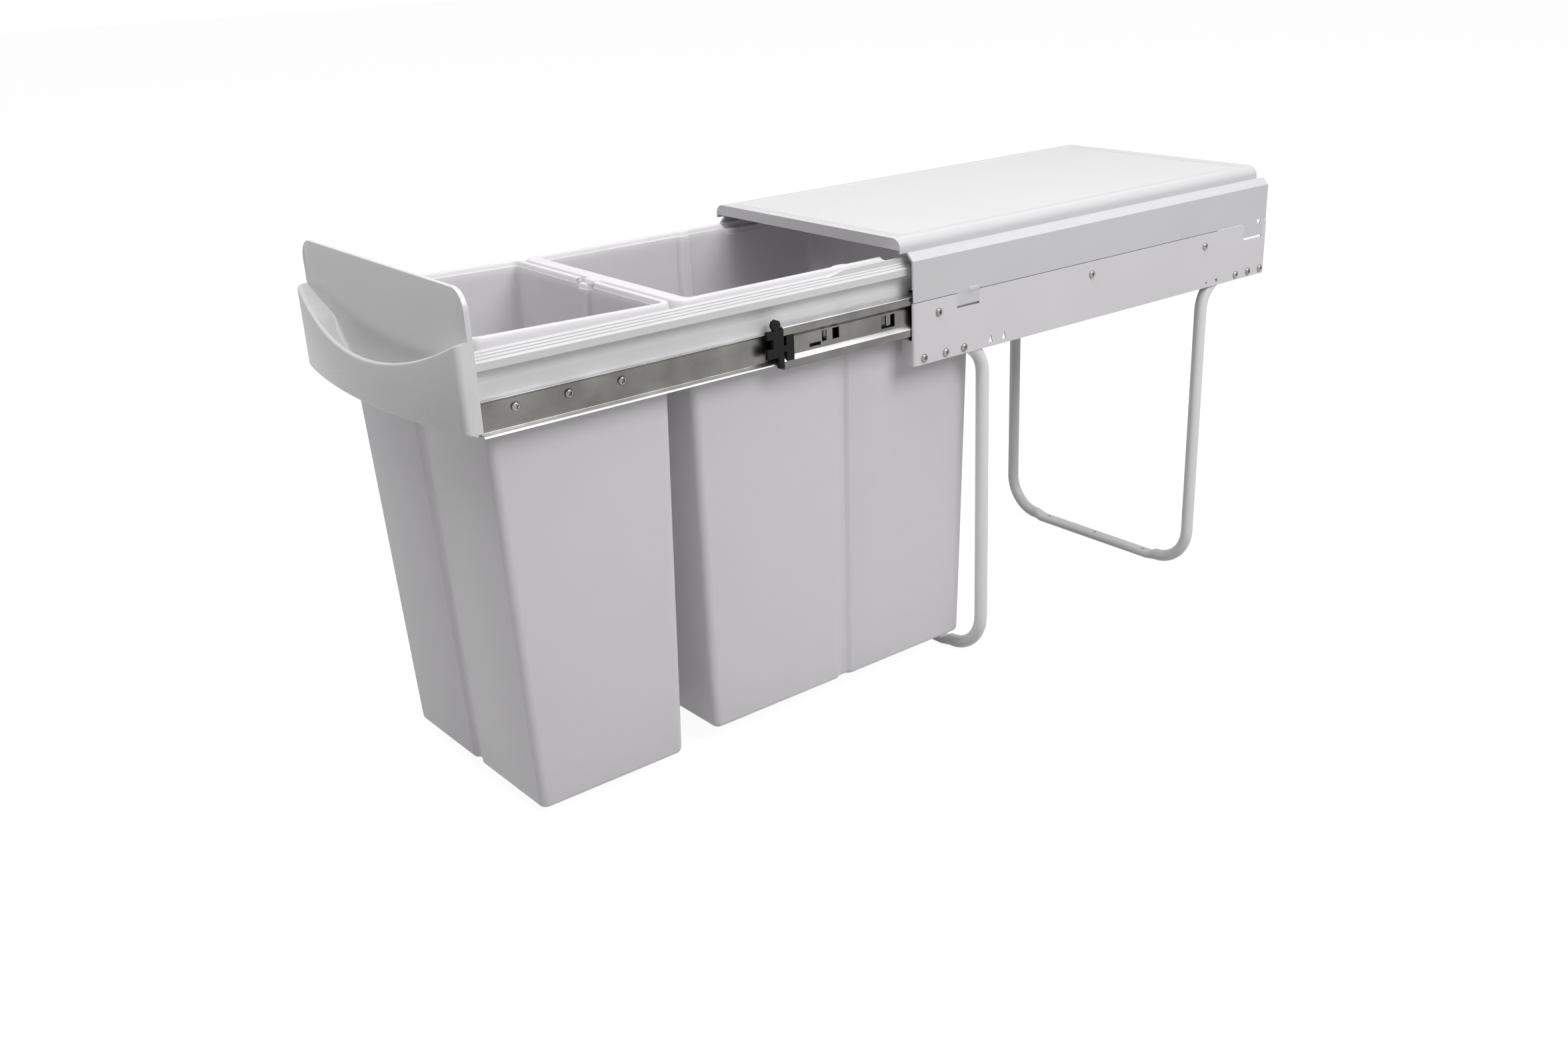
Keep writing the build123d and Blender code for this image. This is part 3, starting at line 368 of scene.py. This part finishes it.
def cross_outline(angle):
    """Radius of the cross recess at an angle round the head."""
    from_arm = (angle + pi / 4) % (pi / 2) - pi / 4
    return min(recess_arm, recess_width / max(abs(sin(from_arm)), 1e-3),
               recess_arm / cos(from_arm))


def screw_rings(shank_length, turned):
    """Rings of one screw, from the end of its shank to the bottom of its recess."""
    angles = [2 * pi * turn / screw_facets for turn in range(screw_facets)]
    levels = [(tip_radius, -shank_length), (shank_radius, -shank_length + tip_length),
              (shank_radius, 0.0)]
    levels += [(share * head_radius, height) for share, height in head_profile]
    rings = [[(radius * cos(angle), radius * sin(angle), height) for angle in angles]
             for radius, height in levels]
    for height, size in ((head_height, 1.0), (head_height - recess_depth, recess_taper)):
        rings.append([(size * cross_outline(angle - turned) * cos(angle),
                       size * cross_outline(angle - turned) * sin(angle), height)
                      for angle in angles])
    return rings


def screw_group(name, node, out):
    """All the screws of a node: out is the direction that their heads face."""
    out = Vector(out)
    whole_group = bmesh.new()
    for number, (low, high) in enumerate(islands(node)):
        middle = (low + high) / 2
        length = abs(out.dot(high - low))
        tip = middle + out * length / 2
        seat = tip - out * head_height
        turn = out.to_track_quat("Z", "Y").to_matrix().to_4x4()
        place = Matrix.Translation(seat) @ turn
        rings = screw_rings(length - head_height, first_turn + turn_between * number)
        one = skin(name, [[place @ Vector(point) for point in ring] for ring in rings])
        whole_group.from_mesh(one)
        bpy.data.meshes.remove(one)
    mesh = bpy.data.meshes.new(name)
    whole_group.to_mesh(mesh)
    whole_group.free()
    return add_piece(name, mesh)


def plated(name, colour, roughness, streaks):
    """Rolled or turned steel with a zinc plating: bright, with fine streaks along Y."""
    finish = bpy.data.materials.new(name)
    finish.use_nodes = True
    nodes, links = finish.node_tree.nodes, finish.node_tree.links
    shader = nodes["Principled BSDF"]
    shader.inputs["Metallic"].default_value = 1.0
    place = nodes.new("ShaderNodeTexCoord")
    stretch = nodes.new("ShaderNodeMapping")
    stretch.inputs["Scale"].default_value = (1.0, 1.0 / streaks, 1.0)
    links.new(place.outputs["Object"], stretch.inputs["Vector"])
    grain = nodes.new("ShaderNodeTexNoise")
    grain.inputs["Scale"].default_value = 700.0
    grain.inputs["Detail"].default_value = 3.0
    links.new(stretch.outputs["Vector"], grain.inputs["Vector"])
    stains = nodes.new("ShaderNodeTexNoise")
    stains.inputs["Scale"].default_value = 30.0
    stains.inputs["Detail"].default_value = 5.0
    links.new(place.outputs["Object"], stains.inputs["Vector"])
    tint = nodes.new("ShaderNodeValToRGB")
    tint.color_ramp.elements[0].position = 0.35
    tint.color_ramp.elements[1].position = 0.65
    tint.color_ramp.elements[0].color = [part * 0.72 for part in colour] + [1]
    tint.color_ramp.elements[1].color = list(colour) + [1]
    links.new(stains.outputs["Fac"], tint.inputs["Fac"])
    links.new(tint.outputs["Color"], shader.inputs["Base Color"])
    polish = nodes.new("ShaderNodeMapRange")
    polish.inputs["To Min"].default_value = roughness - 0.07
    polish.inputs["To Max"].default_value = roughness + 0.10
    links.new(grain.outputs["Fac"], polish.inputs["Value"])
    links.new(polish.outputs["Result"], shader.inputs["Roughness"])
    bump = nodes.new("ShaderNodeBump")
    bump.inputs["Strength"].default_value = 0.5
    bump.inputs["Distance"].default_value = 0.00003
    links.new(grain.outputs["Fac"], bump.inputs["Height"])
    links.new(bump.outputs["Normal"], shader.inputs["Normal"])
    return finish


screw_plating = plated("screw_plating", (0.36, 0.35, 0.34), roughness=0.30, streaks=1.0)
for side, outward in (("right", 1), ("left", -1)):
    for node, facing in ((f"leg_screws_{side}", outward), (f"slide_screws_{side}", outward),
                         (f"rail_screws_{side}", outward),
                         (f"crossbar_screws_{side}", -outward)):
        screws = screw_group(node.replace("screws", "pan_heads"), node, (facing, 0, 0))
        stands_for(screws, node, screw_plating)
screws = screw_group("panel_pan_heads", "panel_screws", (0, 1, 0))
stands_for(screws, "panel_screws", screw_plating)


# ------------------------------------------------------------------ slides
# Each ball-bearing slide is three rolled and zinc-plated steel members, two punched ball
# cages and their hardened balls. The members' zinc is painted dark like their shaded webs
# (painted shade), and their upward-facing faces take a light copy of it as a painted
# highlight where the lamps above catch them. A black plastic end stop is pushed on the
# middle member.

rolled_edge = 0.00018
punched_edge = 0.0001
stop_edge = 0.0006
# Faces that point up more than this get the painted highlight.
highlight_facing = 0.5
# A dark zinc that stands partly for the shade on the members' webs, and a light copy of it for
# the painted highlight.
rolled_zinc = plated("rolled_zinc", (0.22, 0.215, 0.205), roughness=0.30, streaks=14.0)
painted_highlight_zinc = plated("painted_highlight_zinc", (0.80, 0.80, 0.79), roughness=0.34, streaks=14.0)
for side in sides:
    for member in ("cabinet", "middle", "drawer"):
        node = f"{member}_slide_member_{side}"
        rolled = formed(f"{member}_member_{side}", node, rolled_edge)
        stands_for(rolled, node, rolled_zinc)
        # The members' up-facing faces take the light copy of the zinc: a painted highlight, not
        # wear from the balls.
        rolled.data.materials.append(painted_highlight_zinc)
        for face in rolled.data.polygons:
            if face.normal.z > highlight_facing:
                face.material_index = 1
    for race in ("outer", "inner"):
        node = f"{race}_ball_cage_{side}"
        cage = formed(f"{race}_cage_{side}", node, punched_edge)
        stands_for(cage, node, rolled_zinc)

ball_radii = {"outer": 0.0020, "inner": 0.00175}
ball_polish = plated("ball_polish", (0.78, 0.78, 0.80), roughness=0.12, streaks=1.0)
for side in sides:
    for race, ball_radius in ball_radii.items():
        node = f"{race}_balls_{side}"
        row = bmesh.new()
        for low, high in islands(node):
            bmesh.ops.create_uvsphere(row, u_segments=20, v_segments=12, radius=ball_radius,
                                      matrix=Matrix.Translation((low + high) / 2))
        mesh = bpy.data.meshes.new(f"{race}_steel_balls_{side}")
        row.to_mesh(mesh)
        row.free()
        stands_for(add_piece(mesh.name, mesh), node, ball_polish)

stop_plastic = coat("stop_plastic", (0.004, 0.004, 0.004), roughness=0.50)
stop_shader = stop_plastic.node_tree.nodes["Principled BSDF"]
stop_shader.inputs["Specular IOR Level"].default_value = 0.2
for side in sides:
    stop = formed(f"end_stop_{side}", f"slide_bumper_{side}", stop_edge)
    stands_for(stop, f"slide_bumper_{side}", stop_plastic)


# ------------------------------------------------------------------ carriage rails
# The rails are extruded and powder coated white. Their heads are ribbed and slope up to
# the bins, whose rims hang on ledges inside. A folded crossbar joins them at the rear.

head_width = 0.0064
rib_depth = 0.0009
fence_height = 0.0060
outer_drop = 0.0030
inner_rise = 0.0042
slack = 0.1 * rib_depth
head_reach = 1.02
rail_edge = 0.00025
rib_crease = radians(24)
crossbar_edge = 0.0003
rail_coat = coat("rail_powder_coat", (0.74, 0.735, 0.745), roughness=0.33,
                 peel_scale=1100.0)
for side in sides:
    rail = formed(f"rail_{side}", f"carriage_rail_{side}", rail_edge)
    rail_low, rail_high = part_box(f"carriage_rail_{side}")
    outer_x = max(abs(rail_low.x), abs(rail_high.x))
    head_top = rail_high.z - fence_height
    for vertex in rail.data.vertices:
        inward = (outer_x - abs(vertex.co.x)) / head_width
        on_ribs = head_top - rib_depth - slack < vertex.co.z < head_top + slack
        if on_ribs and inward < head_reach:
            vertex.co.z += inward * inner_rise - (1 - inward) * outer_drop
    rail.data.set_sharp_from_angle(angle=rib_crease)
    stands_for(rail, f"carriage_rail_{side}", rail_coat)
crossbar = formed("crossbar", "rear_crossbar", crossbar_edge)
stands_for(crossbar, "rear_crossbar", rail_coat)


# ------------------------------------------------------------------ front panel
# One glossy white moulding: a plate with round upper corners and a bow in front of it
# that serves as the handle. Its lip dips in the middle, over a pocket for the fingers.

panel_low, panel_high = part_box("front_panel")
half_width = panel_high.x
plate_back = panel_high.y
plate_thickness = 0.004
plate_front = plate_back - plate_thickness
plate_corner = 0.015
bow_end_depth = 0.009
bow_middle_depth = plate_front - panel_low.y
bow_top = panel_low.z + 0.065
lip_dip = 0.0305
lip_reach = half_width + 0.001
bow_wall = 0.0045
bow_corner = 0.004
pocket_floor = panel_low.z + 0.014
pocket_half = half_width - 0.029
pocket_floor_half = pocket_half - 0.044
pocket_corner = 0.026
hollow_wall = 0.003
hollow_depth = 0.009
lip_round = 0.0020
pocket_fillet = 0.004
face_margin = 0.004
least_gap = 0.0001
rim_round = 0.001
rim_facet = 0.0003
bow_foot = [(0.0, 0.002), (0.0006, 0.0006), (0.0015, 0.0)]
panel_edge = 0.0005
end_steps = (0.0, 0.0001, 0.0004, 0.0010, 0.0018, 0.00295, 0.00305, 0.0045, 0.0065,
             0.0090, 0.0120)
middle_steps = 40


def sag(rise, half, x):
    """How far a shallow arc of that rise over that half span lies above its middle at x."""
    radius = (half * half + rise * rise) / (2 * rise)
    return radius - sqrt(radius * radius - x * x)


def quarter(steps):
    """Pairs of (1 - sine, 1 - cosine) over a quarter turn, in equal steps."""
    return [(1 - sin(step / steps * pi / 2), 1 - cos(step / steps * pi / 2))
            for step in range(steps + 1)]


def pocket_height(x):
    """Height of the pocket's floor, which turns up towards its ends."""
    rise = (bow_top - pocket_floor) / (pocket_half - pocket_floor_half)
    turn = sqrt(1 + rise * rise)
    tangent = pocket_corner * (turn - 1) / rise
    distance = abs(x) - (pocket_floor_half - tangent)
    if distance <= 0:
        return pocket_floor
    if distance < tangent * (1 + 1 / turn):
        return pocket_floor + pocket_corner - sqrt(pocket_corner ** 2 - distance ** 2)
    return pocket_floor + (abs(x) - pocket_floor_half) * rise


def panel_ring(x):
    """Section of the panel at x: up the back, down the face, round the pocket and bow."""
    near_end = max(abs(x) - (half_width - plate_corner), 0)
    top = panel_high.z - plate_corner + sqrt(max(plate_corner ** 2 - near_end ** 2, 0))
    bow_end = max(abs(x) - (half_width - bow_corner), 0)
    outside = (plate_front - bow_middle_depth + sag(bow_middle_depth - bow_end_depth,
                                                    half_width, x)
               + bow_corner - sqrt(max(bow_corner ** 2 - bow_end ** 2, 0)))
    inside = outside + bow_wall
    lip = min(bow_top - lip_dip + sag(lip_dip, lip_reach, x), bow_top)
    floor = min(pocket_height(x), lip - least_gap)
    hollow = panel_low.z + (hollow_depth if abs(x) < half_width - hollow_wall else least_gap)
    profile = [(plate_back, panel_low.z), (plate_back, top - rim_round),
               (plate_back - rim_facet, top - rim_facet), (plate_back - rim_round, top),
               (plate_front + rim_round, top), (plate_front + rim_facet, top - rim_facet),
               (plate_front, top - rim_round), (plate_front, lip + face_margin)]
    soft = min(pocket_fillet, (lip - floor) / 2)
    profile += [(plate_front - soft * back, floor + soft * down) for down, back in quarter(4)]
    profile += [(inside + soft * back, floor + soft * up) for back, up in quarter(4)]
    rounding = min(lip_round, (lip - floor) / 2)
    profile += [(inside - rounding * out, lip - rounding * down) for down, out in quarter(3)]
    profile += [(outside + lip_round * back, lip - lip_round * down)
                for back, down in quarter(3)]
    profile += [(outside + back, panel_low.z + up) for back, up in bow_foot]
    profile += [(outside + hollow_wall, panel_low.z), (outside + hollow_wall, hollow),
                (plate_front, hollow), (plate_front, panel_low.z)]
    return [(x, y, z) for y, z in profile]


def panel_stations():
    """Places across the panel, close together where its outline turns."""
    ends = [half_width - step for step in end_steps]
    middle = [(half_width - plate_corner) * step / middle_steps
              for step in range(middle_steps, 0, -1)]
    right = ends + middle
    return [-x for x in right] + [0.0] + right[::-1]


panel_rings = [panel_ring(x) for x in panel_stations()]
panel = add_piece("front_moulding", skin("front_moulding", panel_rings))
ease_edges(panel, panel_edge)
panel_plastic = coat("panel_plastic", (0.78, 0.78, 0.785), roughness=0.26,
                     peel_scale=1400.0, peel_height=0.000005)
stands_for(panel, "front_panel", panel_plastic)


# ------------------------------------------------------------------ bins
# Two tapered polypropylene bins, 10 and 20 litres, moulded with a flat rim and a bead on
# it. The small one has a groove down its front and rear, the large one down its sides. A
# tab on the large one's rim lies in a notch of the small one's.

wall = 0.0018
foot_radius = 0.0045
upright_radius = 0.007
rim_thickness = 0.003
side_rim = 0.0066
side_draft = 0.006
groove_half = 0.0075
groove_depth = 0.0030
bead_ledge = 0.0032
end_ledge = 0.0010
step_in = 0.0008
tab_half = 0.008
tab_length = 0.0050
notch_half = 0.012
notch_depth = 0.0042
cut_slant = 0.0002
under_rim = 0.0002
least_radius = 0.0012
upright_steps = 8
wall_steps = 8
foot_steps = 5
groove_flank = [(groove_half + 0.0008, 0.0), (groove_half, -0.0003),
                (groove_half - 0.0026, -groove_depth + 0.0003),
                (groove_half - 0.0034, -groove_depth)]
groove = [(-place, offset) for place, offset in groove_flank] + groove_flank[::-1]
rim_profile = [(-0.0008, -rim_thickness), (-0.0002, -rim_thickness + 0.0003),
               (0.0, -rim_thickness + 0.0009), (0.0, -0.0010), (-0.0003, -0.0003),
               (-0.0008, 0.0)]
bead_profile = [(0.0004, 0.0, 0.0), (0.0001, 0.0002, 0.1), (0.0, 0.0, 0.5),
                (-0.0002, -0.0002, 0.9), (-0.0007, -0.0001, 1.0), (-0.0015, 0.0, 1.0)]
mouth_profile = [(wall - 0.0010, 0.0, 1.0), (wall - 0.0003, -0.0003, 1.0),
                 (wall, -0.0010, 1.0), (wall, -0.0034, 1.0), (wall + 0.0003, -0.0040, 1.0),
                 (wall + step_in, -0.0043, 1.0), (wall + step_in, -0.0060, 0.9)]


def outline(half, start, end, radius, marks, rim_share):
    """Outline of a bin seen from above, anticlockwise from its front left corner. marks
    holds, for each side, places along it with their offset on the wall and on the rim."""
    corners = [(-half, start), (half, start), (half, end), (-half, end)]
    points = []
    for number, (x, y) in enumerate(corners):
        towards = number * pi / 2
        centre = (x + radius * (1 if x < 0 else -1), y + radius * (1 if y == start else -1))
        for step in range(upright_steps + 1):
            angle = pi + towards + step / upright_steps * pi / 2
            points.append((centre[0] + radius * cos(angle), centre[1] + radius * sin(angle)))
        middle = [(0, start), (half, (start + end) / 2), (0, end),
                  (-half, (start + end) / 2)][number]
        along = (cos(towards), sin(towards))
        outward = (sin(towards), -cos(towards))
        for place, on_wall, on_rim in marks[number]:
            offset = on_wall + rim_share * (on_rim - on_wall)
            points.append((middle[0] + along[0] * place + outward[0] * offset,
                           middle[1] + along[1] * place + outward[1] * offset))
    return points


def bin_mesh(name, floor_z, rim_top, bottom, top, rim, rim_radius, bead, rise, marks):
    """A bin as one skin: outside from the foot up, over the rim and the bead that stands on
    it, and down the inside. rise gives the height of the bead at a place. The profiles say
    how far each ring lies out or in, how high, and how much of the bead's height it has."""

    def level(share, inset, z, raised=0.0):
        """A ring on the wall, share 0 at the foot and 1 at the rim, set in by inset."""
        half, start, end = [low + share * (high - low) for low, high in zip(bottom, top)]
        radius = max(upright_radius - inset, least_radius)
        flat = outline(half - inset, start + inset, end - inset, radius, marks, 0)
        return [(x, y, z + raised * rise(x, y)) for x, y in flat]

    def edge(grow, z):
        """A ring on the rim's outer edge."""
        flat = outline(rim[0] + grow, rim[1] - grow, rim[2] + grow,
                       rim_radius + grow, marks, 1)
        return [(x, y, z) for x, y in flat]

    def crest(grow, z, raised):
        """A ring on the outer side of the bead."""
        flat = outline(bead[0] + grow, bead[1] - grow, bead[2] + grow,
                       rim_radius - rim[0] + bead[0] + grow, marks, bead[3])
        return [(x, y, z + raised * rise(x, y)) for x, y in flat]

    height = rim_top - floor_z
    foot = [(foot_radius * back, foot_radius * up) for back, up in quarter(foot_steps)]
    rings = [level(0, inset, floor_z + up) for inset, up in foot]
    for step in range(1, wall_steps + 1):
        share = step / wall_steps * (1 - (rim_thickness + under_rim) / height)
        rings.append(level(share, 0, floor_z + max(share * height, foot_radius)))
    rings += [edge(grow, rim_top + up) for grow, up in rim_profile]
    rings += [crest(grow, rim_top + up, raised) for grow, up, raised in bead_profile]
    rings += [level(1, inset, rim_top + up, raised) for inset, up, raised in mouth_profile]
    for step in range(wall_steps - 1, 0, -1):
        share = step / wall_steps
        rings.append(level(share, wall, floor_z + share * height))
    rings += [level(0, wall + up, floor_z + wall + inset) for inset, up in foot]
    return skin(name, rings)


bin_plastic = coat("bin_polypropylene", (0.82, 0.798, 0.822), roughness=0.40,
                   peel_scale=500.0, cloudiness=0.02)
melt = bin_plastic.node_tree.nodes["Principled BSDF"]
melt.inputs["Subsurface Weight"].default_value = 0.6
melt.inputs["Subsurface Radius"].default_value = (1.0, 1.0, 1.0)
melt.inputs["Subsurface Scale"].default_value = 0.010
grooved = [(place, offset, 0.0) for place, offset in groove]

low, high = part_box("front_bin")
small_corner = 0.011
small_rims = (0.006, 0.004)
small_drafts = (0.014, 0.010)
small_bead = 0.0104
rear_bead = 0.0070
dip_bead = 0.0050
rear_edge = high.y - 0.012
rear_fade = 0.03
notch_share = 0.95
notched = ([(-notch_half - cut_slant, 0.0, 0.0), (-notch_half, 0.0, -notch_depth)]
           + [(place, offset, -notch_depth) for place, offset in groove]
           + [(notch_half, 0.0, -notch_depth), (notch_half + cut_slant, 0.0, 0.0)])
small_top = (high.x - side_rim, low.y + small_rims[0], high.y - small_rims[1])
small_bottom = (small_top[0] - side_draft, small_top[1] + small_drafts[0],
                small_top[2] - small_drafts[1])


def small_rise(x, y):
    """The bead of the small bin: lower along the rear, with a dip for the tab."""
    if y > rear_edge and abs(x) < notch_half + cut_slant / 2:
        return dip_bead
    share = min(max((y - rear_edge + rear_fade) / rear_fade, 0), 1)
    return small_bead + (rear_bead - small_bead) * share


small_rim = (high.x, low.y, high.y)
small_crest = (high.x - bead_ledge, low.y + bead_ledge, high.y - end_ledge, notch_share)
small_mesh = bin_mesh("small_bin", low.z, high.z, small_bottom, small_top, small_rim,
                      small_corner, small_crest, small_rise, [grooved, [], notched, []])
stands_for(add_piece("small_bin", small_mesh), "front_bin", bin_plastic)

low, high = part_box("rear_bin")
large_corner = 0.0125
large_rims = (0.012, 0.0055)
large_drafts = (0.005, 0.0105)
large_bead = 0.0066
under_cover = 0.0003
cover_gap = 0.0020
bead_fade = 0.006
fade_steps = (-bead_fade, 0.0, 0.004)
tabbed = [(-tab_half - cut_slant, 0.0, 0.0), (-tab_half, 0.0, tab_length),
          (tab_half, 0.0, tab_length), (tab_half + cut_slant, 0.0, 0.0)]
rim_front = low.y + tab_length
large_top = (high.x - side_rim, rim_front + large_rims[0], high.y - large_rims[1])
large_bottom = (large_top[0] - side_draft, large_top[1] + large_drafts[0],
                large_top[2] - large_drafts[1])
bead_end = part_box("cover")[0].y - cover_gap
middle_y = (large_top[1] + large_top[2]) / 2
fade_places = [bead_end + step - middle_y for step in fade_steps]
right_side = grooved + [(place, 0.0, 0.0) for place in fade_places]
left_side = [(-place, 0.0, 0.0) for place in reversed(fade_places)] + grooved


def large_rise(x, y):
    """The bead of the large bin, which is low where the cover lies over it."""
    share = min(max((bead_end - y) / bead_fade, 0), 1)
    return under_cover + (large_bead - under_cover) * share


large_rim = (high.x, rim_front, high.y)
large_crest = (high.x - bead_ledge, rim_front + end_ledge, high.y - end_ledge, 1.0)
large_mesh = bin_mesh("large_bin", low.z, high.z, large_bottom, large_top, large_rim,
                      large_corner, large_crest, large_rise,
                      [tabbed, right_side, [], left_side])
stands_for(add_piece("large_bin", large_mesh), "rear_bin", bin_plastic)


# ------------------------------------------------------------------ studio
# A paper floor that looks plain white to the camera with a faint shadow, three soft boxes
# over a white surround, and the camera in the place worked out from the object's edges.

def backdrop_rays(tree):
    """1 for the rays that see the backdrop itself: camera, glossy and transmission rays."""
    rays = tree.nodes.new("ShaderNodeLightPath")
    total = rays.outputs["Is Camera Ray"]
    for kind in ("Is Glossy Ray", "Is Transmission Ray"):
        join = tree.nodes.new("ShaderNodeMath")
        join.operation = "MAXIMUM"
        tree.links.new(total, join.inputs[0])
        tree.links.new(rays.outputs[kind], join.inputs[1])
        total = join.outputs["Value"]
    return total


def floor_paper(glow, paper_colour, bounce_colour):
    """White paper: it glows a little to the camera, and gives back less light than it has."""
    finish = bpy.data.materials.new("floor_paper")
    finish.use_nodes = True
    tree = finish.node_tree
    tree.nodes.remove(tree.nodes["Principled BSDF"])
    light = tree.nodes.new("ShaderNodeEmission")
    light.inputs["Strength"].default_value = glow
    paper = tree.nodes.new("ShaderNodeBsdfDiffuse")
    paper.inputs["Color"].default_value = (*paper_colour, 1)
    bounce = tree.nodes.new("ShaderNodeBsdfDiffuse")
    bounce.inputs["Color"].default_value = (*bounce_colour, 1)
    sheet = tree.nodes.new("ShaderNodeAddShader")
    tree.links.new(light.outputs["Emission"], sheet.inputs[0])
    tree.links.new(paper.outputs["BSDF"], sheet.inputs[1])
    seen = tree.nodes.new("ShaderNodeMixShader")
    tree.links.new(backdrop_rays(tree), seen.inputs["Fac"])
    tree.links.new(bounce.outputs["BSDF"], seen.inputs[1])
    tree.links.new(sheet.outputs["Shader"], seen.inputs[2])
    tree.links.new(seen.outputs["Shader"], tree.nodes["Material Output"].inputs["Surface"])
    return finish


floor_mesh = bpy.data.meshes.new("floor")
reach = 12.0
floor_mesh.from_pydata([(-reach, -reach, 0), (reach, -reach, 0), (reach, reach, 0),
                        (-reach, reach, 0)], [], [(0, 1, 2, 3)])
floor_mesh.materials.append(floor_paper(0.92, (0.28, 0.28, 0.28), (0.36, 0.36, 0.36)))
floor = bpy.data.objects.new("floor", floor_mesh)
bpy.context.scene.collection.objects.link(floor)


def soft_box(name, place, aim, size, power):
    """A large square lamp that faces a point."""
    lamp = bpy.data.lights.new(name, "AREA")
    lamp.shape = "SQUARE"
    lamp.size = size
    lamp.energy = power
    box = bpy.data.objects.new(name, lamp)
    box.location = place
    box.rotation_euler = (Vector(place) - Vector(aim)).to_track_quat("Z", "Y").to_euler()
    bpy.context.scene.collection.objects.link(box)


middle = (0.0, -0.2, 0.25)
soft_box("overhead_box", (0.2, -0.5, 2.5), middle, size=1.8, power=23.0)
soft_box("side_box", (1.8, 0.15, 1.8), middle, size=1.2, power=30.0)
soft_box("front_box", (0.2, -1.6, 2.9), middle, size=1.2, power=17.0)

world = bpy.data.worlds.new("studio")
world.use_nodes = True
world_tree = world.node_tree
surround = world_tree.nodes["Background"]
surround.inputs["Color"].default_value = (1, 1, 1, 1)
surround.inputs["Strength"].default_value = 0.22
paper_wall = world_tree.nodes.new("ShaderNodeBackground")
paper_wall.inputs["Color"].default_value = (1, 1, 1, 1)
paper_wall.inputs["Strength"].default_value = 1.0
seen = world_tree.nodes.new("ShaderNodeMixShader")
world_tree.links.new(backdrop_rays(world_tree), seen.inputs["Fac"])
world_tree.links.new(surround.outputs["Background"], seen.inputs[1])
world_tree.links.new(paper_wall.outputs["Background"], seen.inputs[2])
world_tree.links.new(seen.outputs["Shader"], world_tree.nodes["World Output"].inputs["Surface"])
bpy.context.scene.world = world
bpy.context.scene.view_settings.view_transform = "Standard"

azimuth = radians(51.01)
elevation = radians(22.75)
roll = radians(-2.08)
back = Vector((sin(azimuth) * cos(elevation), -cos(azimuth) * cos(elevation), sin(elevation)))
right = (-back).cross(Vector((0, 0, 1))).normalized()
up = right.cross(-back)
tilted_right = cos(roll) * right + sin(roll) * up
tilted_up = -sin(roll) * right + cos(roll) * up
view = Matrix((tilted_right, tilted_up, back)).transposed().to_4x4()
view.translation = (1.0575, -1.0967, 0.6593)
picture_width, picture_height = 2352, 1568
focal_length = 2339
optical_centre = (1231.2, 839.9)
lens = bpy.data.cameras.new("camera")
lens.sensor_width = 36.0
lens.lens = lens.sensor_width * focal_length / picture_width
lens.shift_x = (picture_width / 2 - optical_centre[0]) / picture_width
lens.shift_y = (optical_centre[1] - picture_height / 2) / picture_width
lens.clip_start = 0.05
camera = bpy.data.objects.new("camera", lens)
camera.matrix_world = view
bpy.context.scene.collection.objects.link(camera)
bpy.context.scene.camera = camera
